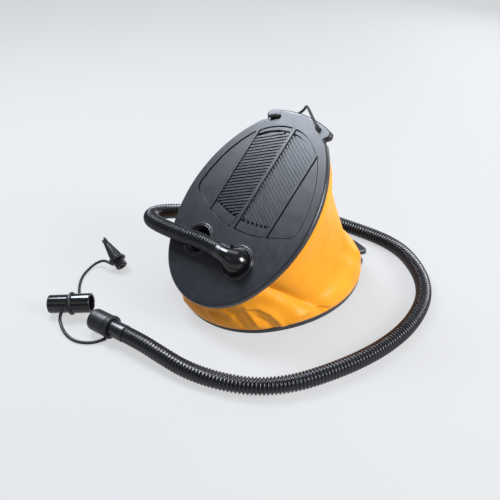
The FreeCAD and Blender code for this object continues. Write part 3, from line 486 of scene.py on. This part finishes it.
def spaced(line, step):
    """The same line with evenly spaced points, and how far along it each one is."""
    along = np.concatenate([[0], np.cumsum(np.linalg.norm(np.diff(line, axis=0), axis=1))])
    at = np.linspace(0, along[-1], max(2, int(round(along[-1] / step)) + 1))
    points = np.stack([np.interp(at, along, line[:, k]) for k in range(3)], axis=1)
    return points, at


def frames_along(line):
    """For each point of a line, two directions across it that never twist."""
    ahead = np.gradient(line, axis=0)
    ahead /= np.linalg.norm(ahead, axis=1)[:, None]
    across = np.cross(ahead[0], (0, 0, 1))
    if np.linalg.norm(across) < 0.1:
        across = np.cross(ahead[0], (0, 1, 0))
    made = []
    for direction in ahead:
        across = across - direction * (across @ direction)
        across = across / np.linalg.norm(across)
        made.append((across, np.cross(direction, across)))
    return made


def tube(line, radii, sides=32, flatten=1.0):
    """A closed tube along a line, with one radius for each point."""
    vertices = []
    faces = []
    for point, radius, (across, up) in zip(line, radii, frames_along(line)):
        for side in range(sides):
            angle = 2 * math.pi * side / sides
            offset = across * math.cos(angle) + up * math.sin(angle) * flatten
            vertices.append(point + offset * radius)
    rings = len(line)
    for ring in range(rings - 1):
        for side in range(sides):
            a = ring * sides + side
            b = ring * sides + (side + 1) % sides
            faces.append((a, b, b + sides, a + sides))
    faces.append(tuple(reversed(range(sides))))
    faces.append(tuple((rings - 1) * sides + side for side in range(sides)))
    return vertices, faces


# ---- rigid parts that keep their CAD shape ------------------------------------------------------

def dress_node(node, paint, bevel=0.0, segments=2, sharp=38.0):
    """A CAD node with its finish, and its edges broken as a mould leaves them."""
    piece = frame["nodes"][node]
    piece.data.materials.clear()
    piece.data.materials.append(PAINT[paint])
    if not bevel:
        return
    weld = piece.modifiers.new("weld", "WELD")
    weld.merge_threshold = 0.00002
    flat = piece.modifiers.new("flat", "DECIMATE")
    flat.decimate_type = "DISSOLVE"
    flat.angle_limit = math.radians(0.6)
    edge = piece.modifiers.new("edge", "BEVEL")
    edge.width = bevel
    edge.segments = segments
    edge.limit_method = "ANGLE"
    edge.angle_limit = math.radians(sharp)
    edge.use_clamp_overlap = True
    even = piece.modifiers.new("even", "WEIGHTED_NORMAL")
    even.weight = 100
    even.keep_sharp = True


def dress_cad():
    """Paint the CAD parts that are shown as they are, with a fine edge bevel."""
    dress_node("base_plate", "plate", 0.0007)
    dress_node("pedal_plate", "plate", 0.0005)
    for node in ("lower_clamp_ring", "upper_clamp_ring"):
        dress_node(node, "clamp", 0.0004)
    for node in ("lower_clamp_screws", "upper_clamp_screws", "hinge_pin", "hinge_pin_clip"):
        dress_node(node, "steel", 0.0002)
    for node in ("inlet_flap", "outlet_flap", "inlet_flap_strip", "outlet_flap_strip"):
        dress_node(node, "flap")


# ---- hose and its fittings ----------------------------------------------------------------------

RIB_PITCH = 0.0048
RINGS_PER_RIB = 6
GROOVE_SHARPNESS = 1.4
RIB_DEPTH = 0.0024
START_CUFF_LENGTH = 0.012
END_CUFF_LENGTH = 0.030


def make_hose():
    """The ribbed hose and the cuff, cup and strap ring at its free end."""
    line, along = spaced(spline_line("hose", HOSE_ROUTE), RIB_PITCH / RINGS_PER_RIB)
    phase = 2 * math.pi * along / RIB_PITCH
    groove = ((1 - np.cos(phase)) / 2) ** GROOVE_SHARPNESS
    radii = HOSE_RADIUS - RIB_DEPTH * groove
    sides = 28
    vertices, faces = tube(line, radii, sides)
    hose = add_piece("hose", vertices, faces, "hose", 80.0)
    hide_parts("hose")
    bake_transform(hose)
    cuff = make_end_cuff()
    cup = make_cup()
    ring = make_strap_ring()


def make_start_cuff():
    """The smooth end of the hose over the elbow's spout, with a bead at its rim."""
    origin = PEDAL @ Vector((PORT_SIDE - ELBOW_BEND, PORT_PLACE, PLATE + HOSE_LIFT))
    place = place_along(origin, (-1, 0, 0))
    r = CUFF_RADIUS
    length = START_CUFF_LENGTH
    profile = [
        (HOSE_BORE, 0.0),
        (r, 0.0),
        (r, 0.0016),
        (r - 0.0004, 0.0020),
        (r - 0.0004, length - 0.001),
        (r - 0.0006, length + 0.001),
        (HOSE_BORE, length + 0.001),
    ]
    cuff = joined("hose_start_cuff", [turned(profile, place)], "hose")
    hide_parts("hose_start_cuff")
    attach(cuff, "pedal")


def hose_end(distance):
    """A place beyond the hose's free end, along its direction."""
    return Vector(HOSE_ROUTE[-1]) + END_DIRECTION * distance


def make_end_cuff():
    """The smooth cuff on the hose's free end."""
    place = place_along(hose_end(0), END_DIRECTION)
    r = CUFF_RADIUS
    profile = [
        (HOSE_BORE, -0.001),
        (r - 0.0008, -0.001),
        (r, 0.001),
        (r, END_CUFF_LENGTH),
        (HOSE_BORE, END_CUFF_LENGTH),
    ]
    cuff = joined("hose_end_cuff", [turned(profile, place)], "hose")
    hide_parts("hose_end_cuff")
    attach(cuff, "base")
    return cuff


def make_cup():
    """The wide end fitting: a smooth rounded cup with a stepped neck."""
    place = place_along(hose_end(END_CUFF_LENGTH), END_DIRECTION)
    profile = [
        (HOSE_BORE, 0.0),
        (0.0136, 0.0),
        (0.0148, 0.0008),
        (0.0148, 0.0016),
        (0.0155, 0.0022),
        (0.0155, 0.0282),
        (0.0148, 0.0304),
        (0.0137, 0.031),
        (0.01305, 0.0304),
        (0.01305, 0.003),
        (HOSE_BORE, 0.003),
    ]
    cup = joined("hose_end_cup", [turned(profile, place, 96, 0.0008)], "satin")
    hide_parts("hose_end_cup")
    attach(cup, "base")
    return cup


def make_strap_ring():
    """The tether's ring on the hose, behind the cup, with the lug that the strap grows from."""
    place = place_along(hose_end(END_CUFF_LENGTH - 0.0052), END_DIRECTION)
    inner = CUFF_RADIUS + 0.00005
    rim = 0.0166
    width = 0.005
    profile = [
        (inner, 0.0),
        (rim - 0.0008, 0.0),
        (rim, 0.0012),
        (rim, 0.0036),
        (rim - 0.0008, width),
        (inner, width),
    ]
    parts = [turned(profile, place, 72, 0.0005)]
    middle = hose_end(END_CUFF_LENGTH - 0.0027)
    root = Vector(LOWER_STRAP_ROUTE[0])
    inward = middle + (root - middle) * 0.80
    line, _ = spaced(np.array([inward, root]), 0.001)
    parts.append(tube(line, np.full(len(line), 0.0024), 20))
    ring = joined("strap_ring", parts, "strap")
    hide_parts("strap_ring")
    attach(ring, "base")
    return ring


def make_adapter():
    """The loose adapter: a glossy tube, its thinner half ending at a bead beside the tether's ring."""
    place = place_along(ADAPTER_START, ADAPTER_DIRECTION)
    profile = [
        (0.0105, 0.0),
        (0.0124, 0.0),
        (0.0132, 0.0008),
        (0.0132, 0.0282),
        (0.0140, 0.0294),
        (0.0140, 0.0612),
        (0.0132, 0.0620),
        (0.0118, 0.0618),
        (0.0110, 0.0610),
        (0.0110, 0.0290),
    ]
    adapter = joined("adapter_tube", [turned(profile, place, 96, 0.0006)], "gloss")
    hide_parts("adapter_tube")
    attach(adapter, "base")
    inner = 0.01405
    rim = 0.0164
    near = 0.0310
    far = 0.0350
    ring_profile = [
        (inner, near),
        (rim - 0.0008, near),
        (rim, near + 0.0010),
        (rim, far - 0.0010),
        (rim - 0.0008, far),
        (inner, far),
    ]
    parts = [turned(ring_profile, place, 72, 0.0005)]
    centre = ADAPTER_START + ADAPTER_DIRECTION * (near + far) / 2
    for route, end in ((LOWER_STRAP_ROUTE, -1), (UPPER_STRAP_ROUTE, 0)):
        root = Vector(route[end])
        line, _ = spaced(np.array([centre + (root - centre) * 0.86, root]), 0.001)
        parts.append(tube(line, np.full(len(line), 0.0023), 20))
    ring = joined("adapter_ring", parts, "strap")
    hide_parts("adapter_ring")
    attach(ring, "base")
    return adapter, ring


def wedge(corners, thickness, across):
    """A thin web: a flat outline given thickness along one direction."""
    offset = Vector(across).normalized() * thickness / 2
    vertices = [Vector(c) - offset for c in corners] + [Vector(c) + offset for c in corners]
    count = len(corners)
    faces = [tuple(reversed(range(count))), tuple(range(count, 2 * count))]
    for i in range(count):
        j = (i + 1) % count
        faces.append((i, j, j + count, i + count))
    return vertices, faces


def make_nozzle():
    """The conical valve nozzle: plug, flange, a fluted cone and a forked tip."""
    place = place_along(NOZZLE_BASE, NOZZLE_DIRECTION)
    profile = [
        (0.0040, 0.0),
        (0.0084, 0.0),
        (0.0090, 0.0006),
        (0.0090, 0.014),
        (0.0120, 0.014),
        (0.0120, 0.017),
        (0.0086, 0.0172),
        (0.0078, 0.026),
        (0.0050, 0.044),
        (0.0040, 0.044),
    ]
    parts = [turned(profile, place, 72, 0.0005)]
    fins = 8
    fin_foot = 0.0165
    fin_waist = 0.026
    fin_tip = 0.046
    for fin in range(fins):
        angle = 2 * math.pi * fin / fins
        out = Vector((math.cos(angle), math.sin(angle), 0))
        side = Vector((-math.sin(angle), math.cos(angle), 0))
        corners = [
            out * 0.0070 + Vector((0, 0, fin_foot)),
            out * 0.0104 + Vector((0, 0, fin_foot)),
            out * 0.0090 + Vector((0, 0, fin_waist)),
            out * 0.0048 + Vector((0, 0, fin_tip)),
            out * 0.0038 + Vector((0, 0, fin_tip)),
        ]
        vertices, faces = wedge(corners, 0.0012, side)
        parts.append(([place @ v for v in vertices], faces))
    rings = 14
    for side, tip in ((-1, 0.0580), (1, 0.0550)):
        heights = np.linspace(0.040, tip, rings)
        line = np.array([place @ Vector((side * 0.0022, 0, height)) for height in heights])
        radii = np.interp(np.linspace(0, 1, rings), [0, 0.85, 1], [0.0026, 0.0021, 0.0012])
        parts.append(tube(line, radii, 16))
    knob_radii = np.array([0.0035, 0.0044, 0.0047, 0.0047, 0.0044, 0.0035])
    rises = np.linspace(0, 0.006, len(knob_radii))
    knob_line = np.array([place @ Vector((0.0085, -0.0035, 0.0135 + rise)) for rise in rises])
    parts.append(tube(knob_line, knob_radii, 24))
    nozzle = joined("valve_nozzle", parts, "satin")
    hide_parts("valve_nozzle")
    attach(nozzle, "base")
    collar_profile = [
        (0.00905, 0.01175),
        (0.0128, 0.01175),
        (0.0132, 0.0122),
        (0.0132, 0.0136),
        (0.0128, 0.01395),
        (0.00905, 0.01395),
    ]
    collar = joined("nozzle_collar", [turned(collar_profile, place, 72, 0.0003)], "strap")
    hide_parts("nozzle_collar")
    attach(collar, "base")
    return nozzle, collar


def make_tether(name, route, radius):
    """A round moulded strap that thickens where it joins its rings."""
    line, along = spaced(spline_line(name, route), 0.0012)
    from_end = np.minimum(along, along[-1] - along)
    swell = 0.14
    swell_reach = 0.004
    radii = radius * (1.0 + swell * np.exp(-from_end / swell_reach))
    vertices, faces = tube(line, radii, 24)
    tether = add_piece(name, vertices, faces, "strap")
    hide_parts(name)
    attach(tether, "base")


# ---- elastic cord -------------------------------------------------------------------------------

def pedal_points(route):
    """Places from points across, along and above the pedal plate's top face."""
    return [tuple(PEDAL @ Vector((across, along, PLATE + above))) for across, along, above in route]


def knot_line(start, end, radius, turns):
    """A cord wound round itself between two places across, along and above the plate's top face."""
    samples = 120
    start = Vector(start) + Vector((0, 0, PLATE))
    end = Vector(end) + Vector((0, 0, PLATE))
    run = (end - start).normalized()
    side = run.cross(Vector((0, 0, 1))).normalized()
    up = side.cross(run)
    made = []
    for i in range(samples):
        t = i / (samples - 1)
        angle = 2 * math.pi * turns * t
        swell = radius * (0.75 + 0.25 * math.sin(math.pi * t) + 0.12 * math.sin(3 * angle))
        offset = side * math.cos(angle) * swell + up * math.sin(angle) * swell
        made.append(PEDAL @ (start.lerp(end, t) + offset))
    return np.array(made)


KNOT_THICK = 0.00145
KNOT_THIN = 0.0013


def make_knot(name, wound, tail):
    """A lumpy knot: a wound stretch of the cord and its shorter tail."""
    thick = knot_line(*wound)
    thin = knot_line(*tail)
    return joined(name, [
        tube(thick, np.full(len(thick), KNOT_THICK), 14),
        tube(thin, np.full(len(thin), KNOT_THIN), 14),
    ], "braid")


def make_elastic():
    """The elastic cord on the pedal plate and the knot at each of its ends."""
    points = pedal_points(ELASTIC_ROUTE)
    line, _ = spaced(spline_line("elastic_cord", points), 0.0008)
    radius = 0.0019
    vertices, faces = tube(line, np.full(len(line), radius), 18)
    cord = add_piece("elastic_cord", vertices, faces, "braid")
    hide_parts("elastic_cord")
    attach(cord, "pedal")
    right_knot = make_knot(
        "right_cord_knot",
        ((0.0335, 0.1290, 0.0022), (0.0395, 0.1252, 0.0022), 0.0017, 2.2),
        ((0.0350, 0.1255, 0.0016), (0.0392, 0.1288, 0.0030), 0.0011, 1.0),
    )
    left_knot = make_knot(
        "left_cord_knot",
        ((-0.0510, 0.1172, 0.0026), (-0.0375, 0.1243, 0.0022), 0.0014, 4.3),
        ((-0.0390, 0.1215, 0.0016), (-0.0350, 0.1262, 0.0016), 0.0009, 1.0),
    )
    for knot, node in ((right_knot, "right_cord_knot"), (left_knot, "left_cord_knot")):
        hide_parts(node)
        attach(knot, "pedal")


# ---- ports and elbow ------------------------------------------------------------------------------

def make_socket(node, side):
    """A port: a collar of three low steps round the bore, and the valve's seat at its foot."""
    place = PEDAL @ Matrix.Translation((side * PORT_SIDE, PORT_PLACE, PLATE))
    profile = [
        (0.0255, 0.0),
        (0.0255, 0.0009),
        (0.0249, 0.0016),
        (0.0240, 0.0016),
        (0.0236, 0.0024),
        (0.0226, 0.0024),
        (0.0221, 0.0016),
        (0.0213, 0.0016),
        (0.0209, 0.0022),
        (0.0200, 0.0020),
        (0.0196, -0.0008),
        (0.0176, -0.0036),
        (0.0176, -0.0281),
        (0.0120, -0.0281),
        (0.0120, -0.0299),
        (0.0202, -0.0299),
        (0.0202, 0.0),
    ]
    socket = joined(node, [turned(profile, place, 120, 0.0003)], "collar")
    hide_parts(node)
    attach(socket, "pedal")


def elbow_rings():
    """Centres, headings and radii of the elbow's sections, from its plug to its spout."""
    foot_radius = 0.0175
    bulb_radius = 0.0194
    start = HOSE_LIFT - ELBOW_BEND
    up = Vector((0, 0, 1))
    made = [(Vector((0, 0, height)), up, radius) for height, radius in (
        (-0.0060, foot_radius),
        (-0.0036, foot_radius),
        (-0.0014, 0.0186),
        (0.0006, 0.0193),
        (0.0026, bulb_radius),
    )]
    steps = 20
    for step in range(steps + 1):
        t = step / steps
        turn = math.pi / 2 * t
        eased = t * t * (3 - 2 * t)
        radius = bulb_radius + (CUFF_RADIUS - bulb_radius) * eased
        centre = Vector((-ELBOW_BEND * (1 - math.cos(turn)), 0, start + ELBOW_BEND * math.sin(turn)))
        made.append((centre, Vector((-math.sin(turn), 0, math.cos(turn))), radius))
    return made


def make_elbow():
    """The glossy elbow in the outlet port: a bulb that shrinks to the hose, with a stop lug."""
    place = PEDAL @ Matrix.Translation((PORT_SIDE, PORT_PLACE, PLATE))
    rings = elbow_rings()
    sides = 64
    vertices = []
    faces = []
    for centre, heading, radius in rings:
        across = Vector((0, 1, 0))
        up = heading.cross(across)
        for side in range(sides):
            angle = 2 * math.pi * side / sides
            vertices.append(place @ (centre + (across * math.cos(angle) + up * math.sin(angle)) * radius))
    for ring in range(len(rings) - 1):
        for side in range(sides):
            a = ring * sides + side
            b = ring * sides + (side + 1) % sides
            faces.append((a, b, b + sides, a + sides))
    faces.append(tuple(reversed(range(sides))))
    faces.append(tuple((len(rings) - 1) * sides + side for side in range(sides)))
    parts = [(vertices, faces)]
    spout = PEDAL @ Vector((PORT_SIDE - ELBOW_BEND, PORT_PLACE, PLATE + HOSE_LIFT))
    line, _ = spaced(np.array([spout, spout + Vector((-0.010, 0, 0))]), 0.002)
    parts.append(tube(line, np.full(len(line), 0.0095), 48))
    lug_corners = [
        Vector((-0.0085, 0.0090, 0.0140)),
        Vector((-0.0085, 0.0150, 0.0140)),
        Vector((-0.0085, 0.0165, 0.0215)),
        Vector((-0.0085, 0.0110, 0.0185)),
    ]
    lug, lug_faces = wedge(lug_corners, 0.004, (1, 0, 0))
    parts.append(([place @ v for v in lug], lug_faces))
    elbow = joined("hose_elbow", parts, "gloss", 50.0)
    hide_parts("hose_elbow")
    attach(elbow, "pedal")


# ---- return spring --------------------------------------------------------------------------------

def make_spring():
    """A coil that bows about the hinge, from the base plate's cup to the pedal plate's."""
    reach = 0.154
    radius = 0.022
    wire = 0.0016
    low = -math.atan2(HINGE.z - 0.006, reach)
    high = OPEN + math.atan2(0.0292, reach)
    turns = 9
    samples = turns * 40
    rows = []
    for i in range(samples + 1):
        t = i / samples
        fan = low + (high - low) * t
        coil = 2 * math.pi * turns * t
        across = radius * math.sin(coil)
        out = reach + radius * math.cos(coil)
        rows.append((across, HINGE.y + out * math.cos(fan), HINGE.z + out * math.sin(fan)))
    sides = 12
    vertices, faces = tube(np.array(rows), np.full(len(rows), wire), sides)
    spring = add_piece("return_spring", vertices, faces, "steel", 80.0)
    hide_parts("return_spring")
    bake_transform(spring)


# ---- bellows ----------------------------------------------------------------------------------------

EGG_INSET = 0.003
BROAD_RADIUS = 0.102
BROAD_PLACE = -0.060
SIDE_RADIUS = 0.1825
NOSE_RADIUS = 0.054
NOSE_PLACE = 0.092
BELLOWS_END = 0.126


def bellows_outline(count):
    """Points and outward directions round the egg that the bellows follows, evenly spaced."""
    to_broad = SIDE_RADIUS - BROAD_RADIUS
    to_nose = SIDE_RADIUS - NOSE_RADIUS
    between = NOSE_PLACE - BROAD_PLACE
    side_y = (to_broad ** 2 - to_nose ** 2 - BROAD_PLACE ** 2 + NOSE_PLACE ** 2) / (2 * between)
    side_x = math.sqrt(to_broad ** 2 - (side_y - BROAD_PLACE) ** 2)
    reach = SIDE_RADIUS - EGG_INSET
    rise = BELLOWS_END - side_y
    nose_r = (reach ** 2 - side_x ** 2 - rise ** 2) / (2 * (reach - rise))
    nose_y = BELLOWS_END - nose_r
    low = math.atan2(BROAD_PLACE - side_y, side_x)
    high = math.atan2(nose_y - side_y, side_x)
    arcs = [
        ((0, BROAD_PLACE), BROAD_RADIUS - EGG_INSET, -math.pi / 2, low),
        ((-side_x, side_y), reach, low, high),
        ((0, nose_y), nose_r, high, math.pi - high),
        ((side_x, side_y), reach, math.pi - high, math.pi - low),
        ((0, BROAD_PLACE), BROAD_RADIUS - EGG_INSET, math.pi - low, 1.5 * math.pi),
    ]
    lengths = [radius * (end - start) for _, radius, start, end in arcs]
    total = sum(lengths)
    made = []
    for number in range(count):
        distance = total * number / count
        for (centre, radius, start, end), length in zip(arcs, lengths):
            if distance <= length:
                break
            distance -= length
        angle = start + (end - start) * distance / length
        out = Vector((math.cos(angle), math.sin(angle), 0))
        made.append((Vector((*centre, 0)) + out * radius, out))
    return made, total


AROUND = 520
UP = 110

# Outward bulge in millimetres against the height from base (0) to pedal (1): first at the tab end,
# where the cloth is pulled tight over its hem, then at the slack hinge end.
TIGHT_SHAPE = [
    (0.0, 2.0), (0.02, 4.0), (0.05, 6.0), (0.09, 7.0), (0.14, 6.5), (0.19, 3.0), (0.23, -2.0),
    (0.28, -5.5), (0.38, -7.2), (0.60, -7.7), (0.72, -6.7), (0.80, -4.2), (0.86, -1.0), (0.92, 1.6),
    (0.97, 1.8), (1.0, 0.0),
]
SLACK_SHAPE = [
    (0.0, 0.0), (0.06, 3.6), (0.16, 5.0), (0.30, 5.0), (0.45, 2.5), (0.62, -1.5), (0.80, -3.0), (0.93, -1.5),
    (1.0, 0.0),
]

# Creases as (points, depth, width above, width below), in millimetres. The points are distances round
# the outline from the middle of the hinge end, and heights up the cloth. Depth is outward.
CREASES = [
    ([(112, 84), (127, 74), (149, 50), (168, 28), (182, 16)], -9.0, 15.0, 8.0),
    ([(136, 10), (148, 17), (162, 19), (182, 17), (200, 12)], 4.0, 9.0, 3.5),
    ([(86, 46), (101, 45), (113, 34), (118, 20), (121, 6)], 3.6, 7.0, 3.5),
    ([(76, 44), (84, 40), (88, 28), (91, 12)], 2.4, 5.0, 3.0),
    ([(96, 28), (104, 18), (108, 6)], -2.6, 5.0, 5.0),
    ([(42, 34), (50, 31), (60, 26)], 2.6, 6.0, 4.0),
    ([(58, 38), (66, 26), (72, 12)], -2.0, 6.0, 5.0),
    ([(20, 26), (30, 18), (40, 10)], 1.8, 6.0, 4.0),
    ([(292, 62), (300, 40), (312, 16)], -3.0, 13.0, 11.0),
    ([(308, 96), (314, 60), (326, 24)], 2.4, 12.0, 9.0),
    ([(224, 96), (238, 58), (262, 22)], -1.6, 18.0, 16.0),
    ([(352, 190), (360, 130), (372, 84)], 1.4, 12.0, 12.0),
]


def crease_push(crease, around, height):
    """How far one crease pushes the cloth outward at every point, fading past its ends."""
    points, depth, above, below = crease
    push = np.zeros_like(height)
    weight = np.zeros_like(height)
    for (x0, y0), (x1, y1) in zip(points, points[1:]):
        run = math.hypot(x1 - x0, y1 - y0)
        along = ((around - x0) * (x1 - x0) + (height - y0) * (y1 - y0)) / run
        inside = np.clip(along, 0, run)
        gap_x = around - (x0 + (x1 - x0) * inside / run)
        gap_y = height - (y0 + (y1 - y0) * inside / run)
        distance = np.hypot(gap_x, gap_y)
        over = gap_y * (x1 - x0) - gap_x * (y1 - y0) > 0
        width = np.where(over, above, below)
        near = np.exp(-(distance / width) ** 1.5)
        push = np.where(near > weight, depth * near, push)
        weight = np.maximum(near, weight)
    return push


def cloth_noise(around, height, total, wave, seed):
    """Smooth noise that closes on itself round the outline."""
    made = np.zeros_like(height)
    radius = total / (2 * math.pi) / wave
    for index, distance in np.ndenumerate(around):
        turn = 2 * math.pi * distance / total
        place = Vector((radius * math.cos(turn), radius * math.sin(turn), height[index] / wave + seed))
        made[index] = noise.noise(place)
    return made


# Where the cloth rolls over the base's rim, in millimetres: how far out, how far down, how high up.
HEM_PUSH = 1.8
HEM_DROOP = 2.0
HEM_HEIGHT = 4.0


def hem_roll(height):
    """How far the cloth is pushed out and how far it sags where it rolls over the base's rim."""
    lift = height / HEM_HEIGHT
    push = HEM_PUSH * (1 - np.exp(-4 * lift)) * np.exp(-(lift / 4) ** 2)
    sag = HEM_DROOP * lift ** 2 * np.exp(2 * (1 - lift))
    return push, sag


# All in millimetres. The cloth is slack below the first span and tight that much above it. Creases
# and waves fade out near both hems. The left side's creases lie a little further round than the
# right's. Waves are (depth, wavelength, seed).
SLACK_SPAN = 70
TIGHTENS_OVER = 110
HEM_FADE = 9.0
LEFT_STRETCH = 1.04
LEFT_SHIFT = 7
WAVES = [(1.3, 46.0, 3.1), (0.35, 15.0, 8.7)]


def make_bellows():
    """The coated fabric between the plates: tight at the tab end, slack and creased at the hinge."""
    outline, total = bellows_outline(AROUND)
    lows = np.array([(p.x, p.y, PLATE) for p, _ in outline])
    highs = np.array([tuple(PEDAL @ Vector((p.x, p.y, 0))) for p, _ in outline])
    outward = np.array([tuple((out + PEDAL.to_3x3() @ out).normalized()) for _, out in outline])
    chords = np.linalg.norm(highs - lows, axis=1) * 1000
    share = np.linspace(0, 1, UP + 1)
    around, rise = np.meshgrid(np.arange(AROUND) * total * 1000 / AROUND, share)
    height = rise * chords
    half = total * 500
    mirrored = np.where(around > half, 2 * half - around, around)
    tight = np.clip((chords - SLACK_SPAN) / TIGHTENS_OVER, 0, 1)
    tight = tight * tight * (3 - 2 * tight)
    tight_bulge = np.interp(share, *zip(*TIGHT_SHAPE))[:, None]
    slack_bulge = np.interp(share, *zip(*SLACK_SHAPE))[:, None]
    bulge = tight_bulge * tight + slack_bulge * (1 - tight)
    for _ in range(2):
        bulge[1:-1] = (bulge[:-2] + 2 * bulge[1:-1] + bulge[2:]) / 4
    fade = np.clip(np.minimum(height, chords - height) / HEM_FADE, 0, 1)
    side = np.where(around > half, mirrored * LEFT_STRETCH + LEFT_SHIFT, mirrored)
    for crease in CREASES:
        bulge += crease_push(crease, side, height) * fade
    for depth, wave, seed in WAVES:
        bulge += depth * cloth_noise(around, height, 2 * half, wave, seed) * fade
    push, sag = hem_roll(height)
    places = lows + (highs - lows) * rise[..., None] + outward * ((bulge + push) / 1000)[..., None]
    places[..., 2] -= sag / 1000
    faces = []
    for row in range(UP):
        for column in range(AROUND):
            a = row * AROUND + column
            b = row * AROUND + (column + 1) % AROUND
            faces.append((a, b, b + AROUND, a + AROUND))
    cloth = add_piece("bellows", places.reshape(-1, 3), faces, "fabric", 180.0)
    layer = cloth.data.uv_layers.new(name="cloth")
    flat = np.stack([around, height], axis=-1).reshape(-1, 2) / 1000
    corners = np.empty(len(cloth.data.loops), np.int32)
    cloth.data.loops.foreach_get("vertex_index", corners)
    layer.data.foreach_set("uv", flat[corners].ravel())
    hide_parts("bellows")
    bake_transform(cloth)


# ---- the whole ------------------------------------------------------------------------------------

make_camera()
make_light()
make_floor()
dress_cad()
make_hose()
make_start_cuff()
adapter, adapter_ring = make_adapter()
nozzle, nozzle_collar = make_nozzle()
make_tether("lower_tether", LOWER_STRAP_ROUTE, 0.0023)
make_tether("upper_tether", UPPER_STRAP_ROUTE, 0.0021)
make_elastic()
make_socket("inlet_socket", -1)
make_socket("outlet_socket", 1)
make_elbow()
make_spring()
make_bellows()
